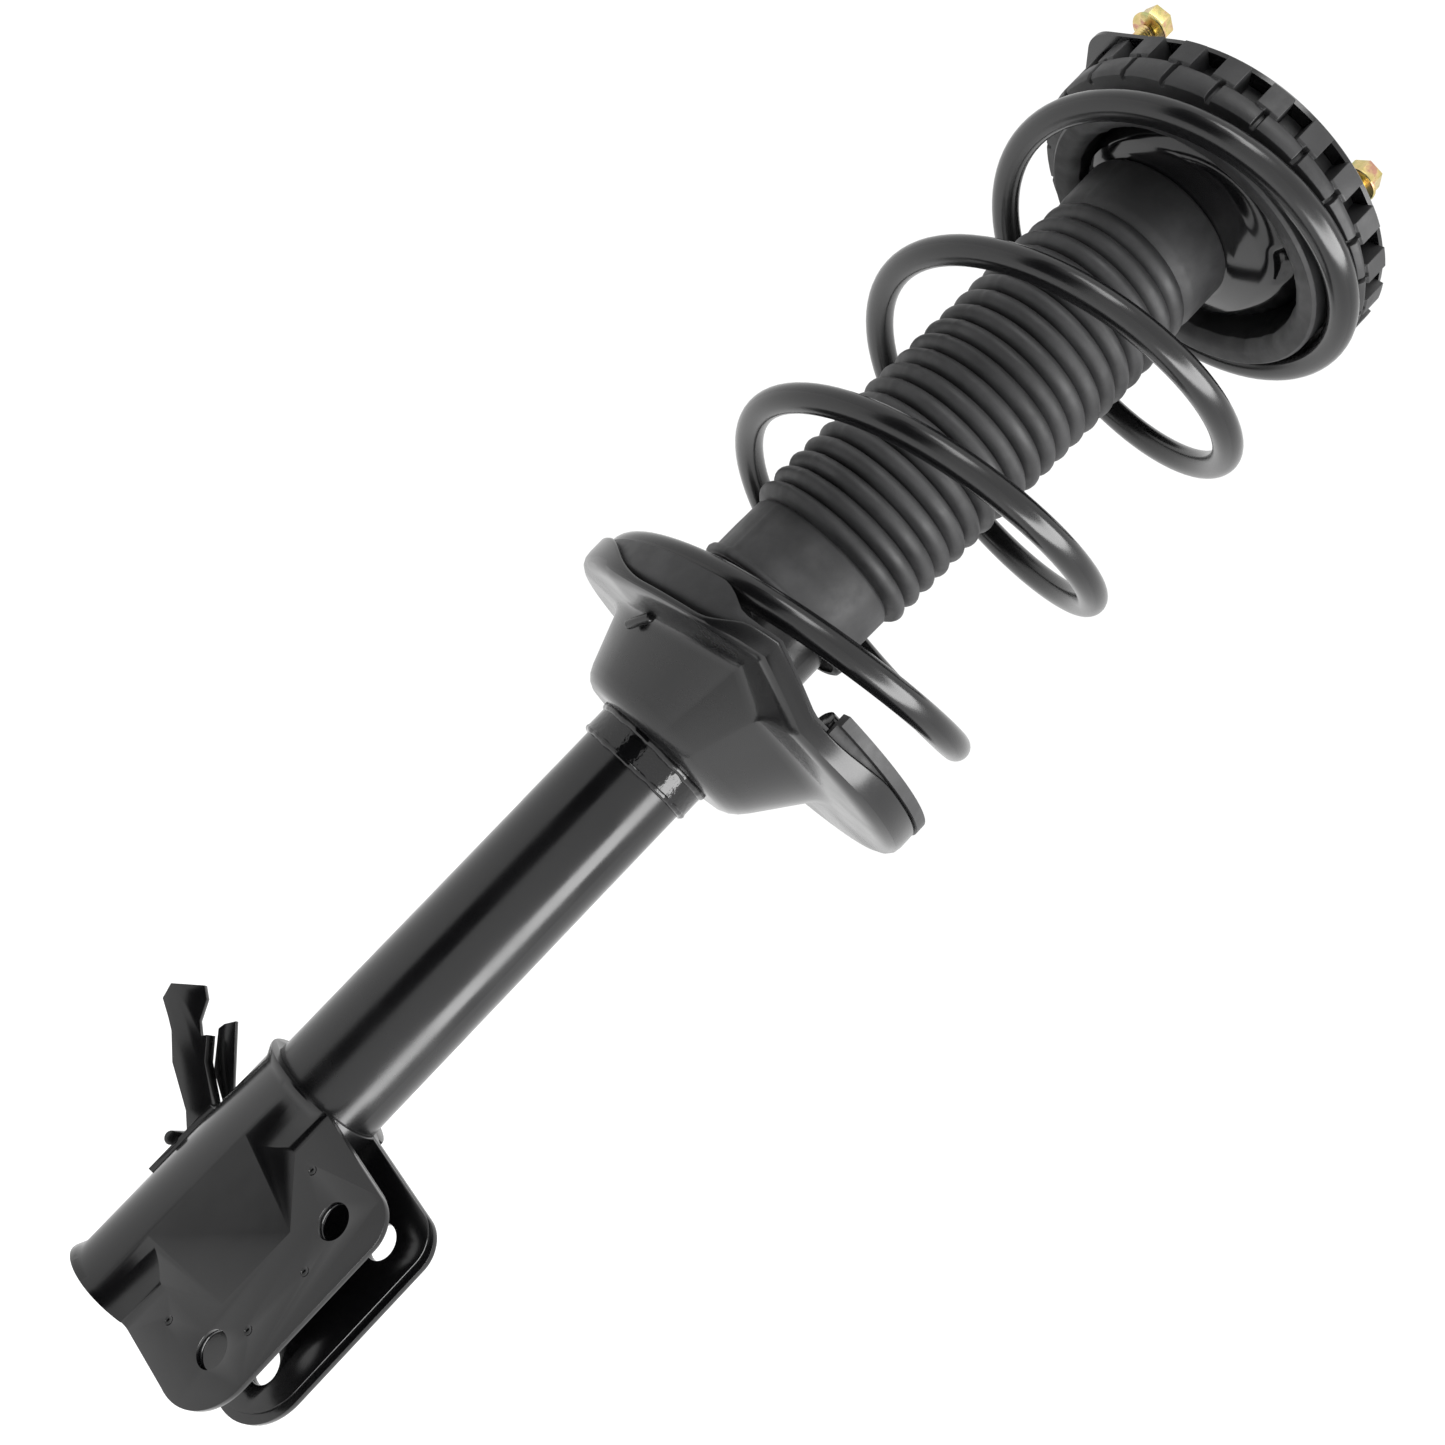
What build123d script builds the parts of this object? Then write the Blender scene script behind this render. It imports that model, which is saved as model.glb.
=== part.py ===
"""Rear MacPherson strut: twin-tube damper, knuckle bracket, coil spring, dust boot and top mount.

Millimetres. +Z runs up the damper's axis, +X points to the bracket's open side (the knuckle),
and the origin is the middle of the three studs' circle, on the top plate's upper face.
"""

import os
from math import cos, radians, sin

from build123d import *

os.makedirs("parts", exist_ok=True)

# ---------------------------------------------------------------- driving dimensions
tube_r = 25.4  # damper tube, 50.8 mm outside
tube_wall = 2.0
bolt_spacing = 61.6  # between the two knuckle bolts
bolt_hole_r = 7.0
bolt_x = 61.3  # from the damper's axis to the knuckle bolts
plate_height = 614.0  # top plate's upper face, above the lower knuckle bolt
spring_x = 15.0  # the spring stands this far off the damper's axis
wire_r = 6.1
coil_r = 76.9  # mean radius of the coils
travel = 110.0  # bump travel before the bump stop is met
rod_r = 10.0
stud_circle_r = 63.5
stud_r = 4.0
running_gap = 0.05  # radial clearance of a sliding or turning fit


def level(height):
    """Row height of a level that is measured up from the lower knuckle bolt."""
    return height - plate_height


def polar(radius, angle, centre_x=0.0):
    """Point at a radius and an angle in degrees round a vertical axis at x = centre_x."""
    return (centre_x + radius * cos(radians(angle)), radius * sin(radians(angle)))


def side_plane(angle, origin=(0, 0, 0)):
    """Upright plane through an axis: its x runs out along the angle, its y runs up."""
    out = (cos(radians(angle)), sin(radians(angle)), 0)
    normal = (sin(radians(angle)), -cos(radians(angle)), 0)
    return Plane(origin=origin, x_dir=out, z_dir=normal)


def finish(builder, name):
    """Label a finished piece and write it to its own STEP file."""
    builder.part.label = name
    export_step(builder.part, f"parts/{name}.step")


def turned(name, profile, axis_x=0.0):
    """A piece turned from (radius, height above the lower bolt) corners round a vertical axis."""
    with BuildPart() as piece:
        with BuildSketch(side_plane(0, (axis_x, 0, 0))):
            with BuildLine():
                Polyline(*[(r, level(h)) for r, h in profile], close=True)
            make_face()
        revolve(axis=Axis((axis_x, 0, 0), (0, 0, 1)))
    finish(piece, name)


# ---------------------------------------------------------------- knuckle bracket
bracket_bottom = -30.0
bracket_top = 81.0
sheet = 2.5
wrap_r = tube_r + sheet  # outside of the sheet where it hugs the tube
ear_y = 16.6  # outer face of an ear
ear_x = 82.5  # free edge of an ear
ear_bottom = -23.0
brace_sheet = 1.5
lining_start = 22.1  # the ears' linings meet the part that hugs the tube here
lug_y = ear_y - sheet - brace_sheet  # half the gap that the knuckle's lug goes into
valley_x = 22.4  # where the wrapped sheet meets the flat ear
low_corner_r = 26.0
high_corner_r = 13.0
lip_flare = 2.2  # the rims turn out this far round the tube
lip_start = 40.0  # degrees from the ears where the turned-out rims end
dimples = [(37.3, 65.0), (67.8, 43.3), (36.9, -9.6), (67.5, 15.0)]  # across and up, on both ears
dimple_r = 2.4
dimple_depth = 0.9
gusset_low, gusset_high = -7.0, 64.0  # tips of the pressed gusset, at the valley


def ear_outline(inset):
    """Side outline of bracket or brace, set in from the ears' free edges."""
    low, high = level(ear_bottom + inset), level(bracket_top)
    reach = ear_x - inset
    with BuildLine() as outline:
        under = Line(
            (-wrap_r - 5, level(bracket_bottom + inset)), (reach - low_corner_r, low)
        )
        low_corner = JernArc(under @ 1, (1, 0), low_corner_r, 90)
        free_edge = Line(low_corner @ 1, (reach, high - high_corner_r))
        high_corner = JernArc(free_edge @ 1, (0, 1), high_corner_r, 90)
        Polyline(
            high_corner @ 1,
            (-wrap_r - 5, high),
            (-wrap_r - 5, level(bracket_bottom + inset)),
        )
    return outline.line


# pressed gusset that bridges the valley between the bolts, with a chevron at each end
with BuildPart() as gusset:
    with BuildSketch(Plane.XY.offset(level(gusset_low))):
        with BuildLine():
            Polyline(
                (7, -26.95),
                (50, -ear_y),
                (48, -ear_y + 1),
                (20, -ear_y + 1),
                (10, -22),
                close=True,
            )
        make_face()
    extrude(amount=gusset_high - gusset_low)
    for tip, fall in ((gusset_high, -1), (gusset_low, 1)):
        apex = Vector(23, -ear_y, level(tip))
        tube_end = Vector(9, -26.5, level(tip + fall * 10))
        ear_end = Vector(50, -ear_y, level(tip + fall * 18))
        normal = (tube_end - apex).cross(ear_end - apex) * fall
        cut = Plane(origin=apex, z_dir=normal)
        keep = Keep.TOP if cut.to_local_coords(Vector(20, -20, level(30))).Z > 0 else Keep.BOTTOM
        split(bisect_by=cut, keep=keep)

with BuildPart() as knuckle_bracket:
    with BuildSketch(Plane.XY.offset(level(bracket_bottom))) as bracket_plan:
        Circle(wrap_r)
        with Locations((ear_x / 2, 0)):
            Rectangle(ear_x, 2 * ear_y)
        valleys = bracket_plan.vertices().filter_by_position(Axis.X, valley_x - 3, valley_x + 3)
        fillet(valleys, radius=7)
    extrude(amount=bracket_top - bracket_bottom)
    # rims turned outwards round the tube
    for rim, inward in ((bracket_top, -1), (bracket_bottom, 1)):
        with BuildSketch(side_plane(lip_start)):
            with BuildLine():
                Polyline(
                    (tube_r + 0.5, level(rim)),
                    (wrap_r + lip_flare, level(rim)),
                    (wrap_r + lip_flare, level(rim + inward)),
                    (wrap_r - 0.2, level(rim + 6 * inward)),
                    (tube_r + 0.5, level(rim + 6 * inward)),
                    close=True,
                )
            make_face()
        revolve(axis=Axis.Z, revolution_arc=360 - 2 * lip_start)
    # side view: the lower edge climbs towards the ears, whose corners are rounded
    with BuildSketch(Plane.XZ):
        make_face(ear_outline(0).edges())
    extrude(amount=40, both=True, mode=Mode.INTERSECT)
    add(gusset.part)
    add(mirror(gusset.part, about=Plane.XZ))
    # hollow for the tube and the gap between the ears
    with BuildSketch(Plane.XY.offset(level(bracket_bottom) - 1)):
        Circle(tube_r)
        with Locations((ear_x / 2 + 1, 0)):
            Rectangle(ear_x + 2, 2 * (ear_y - sheet))
    extrude(amount=bracket_top - bracket_bottom + 2, mode=Mode.SUBTRACT)
    with BuildSketch(Plane.XZ):
        with Locations((bolt_x, level(0)), (bolt_x, level(bolt_spacing))):
            Circle(bolt_hole_r)
    extrude(amount=40, both=True, mode=Mode.SUBTRACT)
    # small locating dimples pressed into both ears
    dimple_y = ear_y + dimple_r - dimple_depth
    with Locations(*[(x, side * dimple_y, level(h)) for x, h in dimples for side in (-1, 1)]):
        Sphere(dimple_r, mode=Mode.SUBTRACT)
finish(knuckle_bracket, "knuckle_bracket")

# inner sheet: hugs the tube on the open side and lines both ears
with BuildPart() as bracket_brace:
    with BuildSketch(Plane.XY.offset(level(bracket_bottom))):
        Circle(tube_r + brace_sheet)
        Circle(tube_r, mode=Mode.SUBTRACT)
        with Locations((ear_x / 2 + 10, 0)):
            Rectangle(ear_x, 2 * (lug_y + brace_sheet), mode=Mode.INTERSECT)
        lining_x = (lining_start + ear_x) / 2
        lining_y = lug_y + brace_sheet / 2
        with Locations((lining_x, lining_y), (lining_x, -lining_y)):
            Rectangle(ear_x - lining_start, brace_sheet)
    extrude(amount=bracket_top - bracket_bottom)
    with BuildSketch(Plane.XZ):
        make_face(ear_outline(2.5).edges())
    extrude(amount=40, both=True, mode=Mode.INTERSECT)
    with BuildSketch(Plane.XZ):
        with Locations((bolt_x, level(0)), (bolt_x, level(bolt_spacing))):
            Circle(bolt_hole_r)
    extrude(amount=40, both=True, mode=Mode.SUBTRACT)
finish(bracket_brace, "bracket_brace")

# ---------------------------------------------------------------- hose bracket and wire tab
arm_angle = 205.0  # round the tube, towards the car's inside
arm_sheet = 2.5
arm_plane = side_plane(arm_angle)
pad_r = wrap_r + arm_sheet

with BuildPart() as hose_bracket:
    # pad that lies on the knuckle bracket, with a foot curled away at its lower end
    with BuildSketch(side_plane(arm_angle - 16)):
        with Locations((wrap_r + arm_sheet / 2, level(28))):
            Rectangle(arm_sheet, 34)
    revolve(axis=Axis.Z, revolution_arc=30)
    with BuildSketch(arm_plane):
        with Locations((pad_r + 1.2, level(25.5))):
            Circle(2.8)
    extrude(amount=8, both=True)
    # cranked arm with a tee-shaped head for the hose clip
    with BuildSketch(arm_plane):
        with BuildLine():
            Polyline(
                (wrap_r + 1, level(42)),
                (48.5, level(50)),
                (56, level(58)),
                (61, level(61.5)),
                (65.5, level(69.5)),
                (70.5, level(72.5)),
                (82, level(63)),
                (80, level(56.5)),
                (72, level(53)),
                (67, level(50.5)),
                (57, level(42.5)),
                (38, level(34)),
                (wrap_r + 1, level(27)),
                close=True,
            )
        make_face()
    extrude(amount=arm_sheet)
    with BuildSketch(Plane.XY.offset(level(bracket_bottom))):
        Circle(wrap_r)
    extrude(amount=bracket_top - bracket_bottom, mode=Mode.SUBTRACT)
    # stiffening edge folded along the arm
    with BuildSketch(arm_plane):
        with BuildLine():
            Polyline(
                (32, level(41)), (48.5, level(50)), (56, level(58)), (54.5, level(60)),
                (47, level(52.2)), (31.5, level(43.5)), close=True,
            )
        make_face()
    extrude(amount=8)
finish(hose_bracket, "hose_bracket")

with BuildPart() as wire_tab:
    with BuildSketch(arm_plane.offset(9)):
        with BuildLine():
            Polyline(
                (wrap_r - 2, level(44)),
                (wrap_r + 3, level(49)),
                (53, level(70)),
                (56, level(65.5)),
                (56.5, level(62.5)),
                (45, level(50)),
                (wrap_r + 4, level(44)),
                close=True,
            )
        make_face()
    extrude(amount=arm_sheet)
    with BuildSketch(Plane.XY.offset(level(bracket_bottom))):
        Circle(pad_r + 0.01)
    extrude(amount=bracket_top - bracket_bottom, mode=Mode.SUBTRACT)
finish(wire_tab, "wire_tab")

# ---------------------------------------------------------------- damper body
tube_bottom = -26.0
tube_top = 392.0
tube_bore = tube_r - tube_wall
cap_sheet = 3.0
cylinder_r = 16.0  # bore of the pressure tube
cylinder_wall = 1.5
turned(
    "strut_tube",
    [(tube_bore, tube_bottom), (tube_r, tube_bottom), (tube_r, tube_top), (tube_bore, tube_top)],
)
turned(
    "base_cap",
    [
        (0, tube_bottom + 3), (12, tube_bottom + 3), (18, tube_bottom + 6), (tube_bore, tube_bottom + 6),
        (tube_bore, tube_bottom), (19, tube_bottom), (14, tube_bottom - 2), (0, tube_bottom - 2),
    ],
)
turned(
    "base_valve",
    [
        (0, -20), (8, -20), (8, -18.5), (cylinder_r + cylinder_wall + 2, -18.5),
        (cylinder_r + cylinder_wall + 2, -12), (cylinder_r, -12), (cylinder_r, -5), (4, -5), (4, -1), (0, -1),
    ],
)
turned(
    "pressure_tube",
    [
        (cylinder_r, -12), (cylinder_r + cylinder_wall, -12),
        (cylinder_r + cylinder_wall, 366), (cylinder_r, 366),
    ],
)
turned(
    "rod_guide",
    [
        (rod_r + 2, 358), (cylinder_r, 358), (cylinder_r, 366), (tube_bore, 366),
        (tube_bore, 380), (rod_r + 5, 380), (rod_r + 5, 378), (rod_r + 2, 378),
    ],
)
turned(
    "guide_bush",
    [(rod_r + running_gap, 359), (rod_r + 2, 359), (rod_r + 2, 377), (rod_r + running_gap, 377)],
)
turned(
    "rod_seal",
    [
        (rod_r + running_gap, 382), (rod_r + 2, 380.2), (tube_bore, 380.2), (tube_bore, tube_top),
        (rod_r + 4, tube_top), (rod_r + 4, 387), (rod_r + running_gap, 387),
    ],
)
turned(
    "tube_cap",
    [
        (rod_r + 3, tube_top), (tube_r, tube_top), (tube_r, tube_top - 8), (tube_r + 1.5, tube_top - 8),
        (tube_r + 1.5, tube_top + cap_sheet - 1), (tube_r, tube_top + cap_sheet),
        (rod_r + 3, tube_top + cap_sheet),
    ],
)

# ---------------------------------------------------------------- rod, piston and bump stop
rod_bottom = 318.0
shoulder = 588.0  # the rod steps down here to go through the top mount
pin_r = 6.0
nut_face = 618.0
piston_face = 332.0
turned(
    "piston_rod",
    [
        (0, rod_bottom), (pin_r, rod_bottom), (pin_r, 350), (rod_r - 1, 350), (rod_r, 351),
        (rod_r, shoulder), (pin_r, shoulder), (pin_r, 634), (pin_r - 1, 635), (0, 635),
    ],
)
turned(
    "piston",
    [
        (pin_r, piston_face), (cylinder_r - 0.6, piston_face), (cylinder_r - 0.6, piston_face + 2),
        (cylinder_r - 1.6, piston_face + 2), (cylinder_r - 1.6, piston_face + 12),
        (cylinder_r - 0.6, piston_face + 12), (cylinder_r - 0.6, piston_face + 14), (pin_r, piston_face + 14),
    ],
)
turned(
    "piston_band",
    [
        (cylinder_r - 1.6, piston_face + 2), (cylinder_r - running_gap, piston_face + 2),
        (cylinder_r - running_gap, piston_face + 12), (cylinder_r - 1.6, piston_face + 12),
    ],
)
turned("piston_shims", [(pin_r, 329), (12, 329), (13, 330), (13, piston_face), (pin_r, piston_face)])
turned("rebound_stop", [(rod_r, 351), (14.5, 351), (14.5, 357), (13.5, 357.7), (rod_r, 357.7)])


def hexagon_nut(name, bore, across_flats, low, high, flange=None):
    """A hexagon nut on the damper's axis, with a flange (radius, thickness) under it if one is given."""
    with BuildPart() as nut:
        with BuildSketch(Plane.XY.offset(level(low))):
            RegularPolygon(across_flats / 2, 6, major_radius=False)
            Circle(bore, mode=Mode.SUBTRACT)
        extrude(amount=high - low)
        chamfer(nut.faces().sort_by(Axis.Z)[-1].outer_wire().edges(), length=0.8)
        if flange:
            with BuildSketch(Plane.XY.offset(level(low))):
                Circle(flange[0])
                Circle(bore, mode=Mode.SUBTRACT)
            extrude(amount=flange[1])
    finish(nut, name)


hexagon_nut("piston_nut", pin_r, 17, 320, 329)
hexagon_nut("rod_nut", pin_r, 19, 620.5, 631)
turned("mount_sleeve", [(pin_r, shoulder + 2.5), (9, shoulder + 2.5), (9, nut_face), (pin_r, nut_face)])
turned("rod_washer", [(pin_r, nut_face), (19, nut_face), (19, 620.5), (pin_r, 620.5)])
turned("shoulder_washer", [(pin_r, shoulder), (17, shoulder), (17, shoulder + 2.5), (pin_r, shoulder + 2.5)])

stop_bottom = tube_top + cap_sheet + travel + 0.4
turned(
    "bump_stop",
    [
        (rod_r + 0.5, stop_bottom), (17, stop_bottom), (20, stop_bottom + 7), (18, stop_bottom + 14),
        (22, stop_bottom + 22), (19.5, stop_bottom + 30), (24, stop_bottom + 40),
        (24, 568), (rod_r + 0.5, 568),
    ],
)
turned(
    "bump_stop_cup",
    [
        (rod_r + 0.3, 568), (24.2, 568), (24.2, 556), (25.7, 556), (25.7, 569.5),
        (14, 570.5), (14, shoulder - 0.2), (rod_r + 0.3, shoulder - 0.2),
    ],
)

# ---------------------------------------------------------------- top mount
plate_sheet = 2.5
plate_r = 77.5
lobe_r = 15.5
lobe_angle = 115.0
lobe_out = 64.0
plate_low = plate_height - plate_sheet
knurl_r = 4.2  # the studs are pressed into the plate on a knurl
mount_hole_r = 27.0
stud_head_r = 7.0
stud_head = 2.0
shank = 21.5  # free length of a stud up to its nut
stud_tip = 28.0
thread_root_r = 3.3
nut_low = 22.0
nut_flange = 1.6
nut_height = 8.0
stud_angles = (0, 120, 240)
stud_points = [polar(stud_circle_r, angle) for angle in stud_angles]

with BuildPart() as top_plate:
    with BuildSketch(Plane.XY.offset(-plate_sheet)):
        with Locations((spring_x, 0)):
            Circle(plate_r)
        with Locations(polar(lobe_out, lobe_angle), polar(lobe_out, -lobe_angle)):
            Circle(lobe_r)
        make_hull()
        Circle(mount_hole_r, mode=Mode.SUBTRACT)
        with Locations(*stud_points):
            Circle(knurl_r, mode=Mode.SUBTRACT)
    extrude(amount=plate_sheet)
    chamfer(top_plate.faces().sort_by(Axis.Z)[-1].outer_wire().edges(), length=0.6)
finish(top_plate, "top_plate")

with BuildPart() as mount_studs:
    with BuildSketch(Plane.XY.offset(-plate_sheet - stud_head)):
        with Locations(*stud_points):
            Circle(stud_head_r)
    extrude(amount=stud_head)
    with BuildSketch(Plane.XY.offset(-plate_sheet)):
        with Locations(*stud_points):
            Circle(knurl_r)
    extrude(amount=plate_sheet)
    with BuildSketch(Plane.XY):
        with Locations(*stud_points):
            Circle(stud_r)
    extrude(amount=shank)
    with BuildSketch(Plane.XY.offset(shank)):
        with Locations(*stud_points):
            Circle(thread_root_r)
    extrude(amount=stud_tip - shank)
finish(mount_studs, "mount_studs")

with BuildPart() as stud_nuts:
    with BuildSketch(Plane.XY.offset(nut_low)):
        with Locations(*stud_points):
            Circle(8.8)
    extrude(amount=nut_flange)
    with BuildSketch(Plane.XY.offset(nut_low + nut_flange)):
        with Locations(*stud_points):
            RegularPolygon(6.5, 6, major_radius=False)
    extrude(amount=nut_height - nut_flange)
    tops = stud_nuts.faces().filter_by(Axis.Z).group_by(Axis.Z)[-1]
    chamfer([edge for top in tops for edge in top.outer_wire().edges()], length=0.9)
    with BuildSketch(Plane.XY.offset(nut_low)):
        with Locations(*stud_points):
            Circle(thread_root_r + running_gap)
    extrude(amount=nut_height - 1, mode=Mode.SUBTRACT)
finish(stud_nuts, "stud_nuts")

# deep-drawn cup under the plate: a neck for the boot on the damper's axis, bulging out to
# a mouth that is centred on the spring
neck_r = 35.5
cup_sheet = 2.2
neck_low = 578.0
cup_steps = [(586.5, 39.0, 1.0), (590.0, 46.5, 6.5), (597.0, 52.0, 11.5), (610.0, 55.0, spring_x - 1)]


def cup_bulge(skin, lift):
    """Loft through the cup's sections (height, radius, centre x), taken in by skin and raised by lift."""
    with BuildPart() as bulge:
        for height, radius, centre_x in cup_steps:
            with BuildSketch(Plane.XY.offset(level(height + lift))):
                with Locations((centre_x, 0)):
                    Circle(radius - skin)
        loft()
    return bulge.part


outer_bulge = cup_bulge(0, 0)
inner_bulge = cup_bulge(cup_sheet, cup_sheet)
with BuildPart() as mount_cup:
    add(outer_bulge)
    with BuildSketch(Plane.XY.offset(level(neck_low))):
        Circle(neck_r)
    extrude(amount=588 - neck_low)
    fillet(mount_cup.faces().sort_by(Axis.Z)[0].outer_wire().edges(), radius=2.5)
    add(inner_bulge, mode=Mode.SUBTRACT)
    with BuildSketch(Plane.XY.offset(level(neck_low + cup_sheet))):
        Circle(neck_r - cup_sheet)
    extrude(amount=13, mode=Mode.SUBTRACT)
    with BuildSketch(Plane.XY.offset(level(610) - 0.6)):
        with Locations((spring_x, 0)):
            Circle(cup_steps[-1][1])
    extrude(amount=plate_low - 610 + 0.6)
    with BuildSketch(Plane.XY.offset(level(neck_low) - 1)):
        Circle(20.5)
    extrude(amount=20, mode=Mode.SUBTRACT)
    with BuildSketch(Plane.XY.offset(-plate_sheet)):
        Circle(mount_hole_r)
        with Locations(*stud_points):
            Circle(stud_head_r)
    extrude(amount=-stud_head - 0.1, mode=Mode.SUBTRACT)
finish(mount_cup, "mount_cup")

turned(
    "mount_rubber",
    [(9.05, 592), (20, 592), (20, 581), (32, 581), (32, 600), (25, 610), (24, 617), (9.05, 617)],
)

# ---------------------------------------------------------------- spring wire
seat_height = 315.0  # middle of the wire where it lies on the lower seat
pitch = 83.5
wire_start = -28.0
wire_end = 1600.0
lift_off = (150.0, 290.0)  # the coil leaves the lower seat over this range of angles
set_down = (1320.0, 1491.0)  # and settles against the isolator over this one


def eased(angle, start, end):
    """Integral of a smooth step from 0 to 1 between start and end, in degrees."""
    span = end - start
    part = min(max((angle - start) / span, 0.0), 1.0)
    return span * (part**3 - part**4 / 2) + max(angle - end, 0.0)


def wire_height(angle):
    """Height of the wire's middle at an angle along the coil."""
    wound = eased(angle, *lift_off) - eased(angle, *set_down)
    return seat_height + pitch * wound / 360


def wire_point(angle):
    """Middle of the wire at an angle along the coil."""
    return (*polar(coil_r, angle, spring_x), level(wire_height(angle)))


coil_steps = 90
coil_step = (wire_end - wire_start) / coil_steps
wire_top = level(wire_height(wire_end))
groove_start = 1386.0  # from here on the wire reaches into the isolator

with BuildLine() as coil_path:
    Spline(*[wire_point(wire_start + step * coil_step) for step in range(coil_steps + 1)])
with BuildPart() as coil_spring:
    with BuildSketch(Plane(origin=coil_path.line @ 0, z_dir=coil_path.line % 0)):
        Circle(wire_r)
    sweep(path=coil_path.line)
finish(coil_spring, "coil_spring")

# castellated rubber ring between the top plate and the spring
ring_r = 80.0
ring_bore = 56.5
teeth = 24
with BuildPart() as upper_isolator:
    with BuildSketch(side_plane(0, (spring_x, 0, 0))):
        with BuildLine():
            Polyline(
                *[
                    (r, level(h))
                    for r, h in [
                        (ring_bore, plate_low), (ring_r, plate_low), (ring_r, 590), (69.8, 590),
                        (69.8, 582.5), (67.8, 581.5), (59, 582.5), (ring_bore, 586),
                    ]
                ],
                close=True,
            )
        make_face()
    revolve(axis=Axis((spring_x, 0, 0), (0, 0, 1)))
    # gaps between the upper teeth, and thin slits between the lower blocks
    with BuildSketch(Plane.XY.offset(level(plate_low))):
        with Locations((spring_x, 0)):
            with PolarLocations(ring_r - 2, teeth):
                Rectangle(16, 10.5)
    extrude(amount=-9.5, mode=Mode.SUBTRACT)
    with BuildSketch(Plane.XY.offset(level(601))):
        with Locations((spring_x, 0)):
            with PolarLocations(ring_r, teeth, start_angle=180 / teeth):
                Rectangle(3, 1.6)
    extrude(amount=-12, mode=Mode.SUBTRACT)
    with BuildSketch(Plane.XY.offset(level(plate_low))):
        with Locations(*stud_points):
            Circle(stud_head_r + 0.3)
    extrude(amount=-3.5, mode=Mode.SUBTRACT)
    # groove that the end of the coil beds into
    with BuildSketch(side_plane(groove_start, (spring_x, 0, 0))):
        with Locations((coil_r, wire_top)):
            Circle(wire_r + 0.3)
        with Locations((coil_r, wire_top - 6)):
            Rectangle(2 * wire_r + 0.6, 12)
    revolve(
        axis=Axis((spring_x, 0, 0), (0, 0, 1)),
        revolution_arc=wire_end + 6 - groove_start,
        mode=Mode.SUBTRACT,
    )
finish(upper_isolator, "upper_isolator")

# ---------------------------------------------------------------- dust boot
rib_count = 20
rib_pitch = 9.1
rib_outer = 40.2
rib_inner = 34.4
boot_skin = 1.6
boot_low = 346.0
ribs_low = 378.0
boot_top = 585.5


def boot_profile(skin):
    """Half section of the boot's outside, moved inwards by skin, from the lower bead to the top sleeve."""
    points = [(38.2, boot_low), (38.2, boot_low + 3.5), (36.3, boot_low + 5), (36.3, ribs_low)]
    for rib in range(rib_count):
        base = ribs_low + rib * rib_pitch
        points += [(rib_outer, base + rib_pitch * 0.5), (rib_inner, base + rib_pitch)]
    points += [(37.6, boot_top - 23), (37.6, boot_top)]
    return [(r - skin, level(h)) for r, h in points]


with BuildPart() as dust_boot:
    with BuildSketch(side_plane(0)):
        with BuildLine():
            Polyline(*boot_profile(0), *reversed(boot_profile(boot_skin)), close=True)
        make_face()
    revolve(axis=Axis.Z)
finish(dust_boot, "dust_boot")

# ---------------------------------------------------------------- lower spring seat
bucket_low = 271.0
bucket_high = 303.0
bucket_low_r = 41.0
bucket_high_r = 58.0
bucket_shift = 8.0  # the bucket's mouth leans towards the spring's axis
seat_sheet = 2.6
spigot_top = 316.0
pan_inner = 40.0
pan_r = 87.2
pan_x = 16.5
pan_height = 303.0
rim_height = 14.0
hump_start, hump_peak, hump_end = 240.0, 308.0, 330.0  # degrees round the pan
hump_rise = 11.5
pad = 3.3  # rubber under the first coil

turned("seat_collar", [(tube_r, 258), (27.3, 258), (27.3, bucket_low), (tube_r, bucket_low)])


def bucket_cone(skin, raise_by):
    """Leaning cone between the bucket's bottom and mouth, taken in by skin."""
    with BuildPart() as cone:
        with BuildSketch(Plane.XY.offset(level(bucket_low + raise_by))):
            Circle(bucket_low_r - skin)
        with BuildSketch(Plane.XY.offset(level(bucket_high))):
            with Locations((bucket_shift, 0)):
                Circle(bucket_high_r - skin)
        loft()
    return cone.part


outer_cone = bucket_cone(0, 0)
inner_cone = bucket_cone(seat_sheet, seat_sheet)
with BuildPart() as seat_bucket:
    add(outer_cone)
    fillet(seat_bucket.faces().sort_by(Axis.Z)[0].edges(), radius=8)
    # the mouth carries on up as a spigot inside the first coil
    with BuildSketch(Plane.XY.offset(level(bucket_high))):
        with Locations((bucket_shift, 0)):
            Circle(bucket_high_r)
    extrude(amount=spigot_top - bucket_high)
    add(inner_cone, mode=Mode.SUBTRACT)
    with BuildSketch(Plane.XY.offset(level(bucket_high))):
        with Locations((bucket_shift, 0)):
            Circle(bucket_high_r - seat_sheet)
    extrude(amount=spigot_top - bucket_high, mode=Mode.SUBTRACT)
    with BuildSketch(Plane.XY.offset(level(bucket_low) - 1)):
        Circle(tube_r)
    extrude(amount=10, mode=Mode.SUBTRACT)
finish(seat_bucket, "seat_bucket")


def hump_lift(angle):
    """How far the pan's floor is raised at an angle on its hump, a slope with a steep far end."""
    if angle <= hump_peak:
        return hump_rise * sin(radians(90 * (angle - hump_start) / (hump_peak - hump_start)))
    return hump_rise * 0.5 * (1 + cos(radians(180 * (angle - hump_peak) / (hump_end - hump_peak))))


def pan_section(angle, lift):
    """Radial section of the pan at an angle: flat floor, rounded corner and upright rim."""
    with BuildSketch(side_plane(angle, (pan_x, 0, level(pan_height + lift)))) as section:
        with BuildLine():
            Polyline(
                (pan_inner, 0),
                (pan_r - 6, 0),
                (pan_r - 1.5, 2.5),
                (pan_r, 7),
                (pan_r, rim_height),
                (pan_r - seat_sheet, rim_height),
                (pan_r - seat_sheet, 7.5),
                (pan_r - 4, 4.2),
                (pan_r - 7, seat_sheet),
                (pan_inner, seat_sheet),
                close=True,
            )
        make_face()
    return section.sketch


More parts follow.
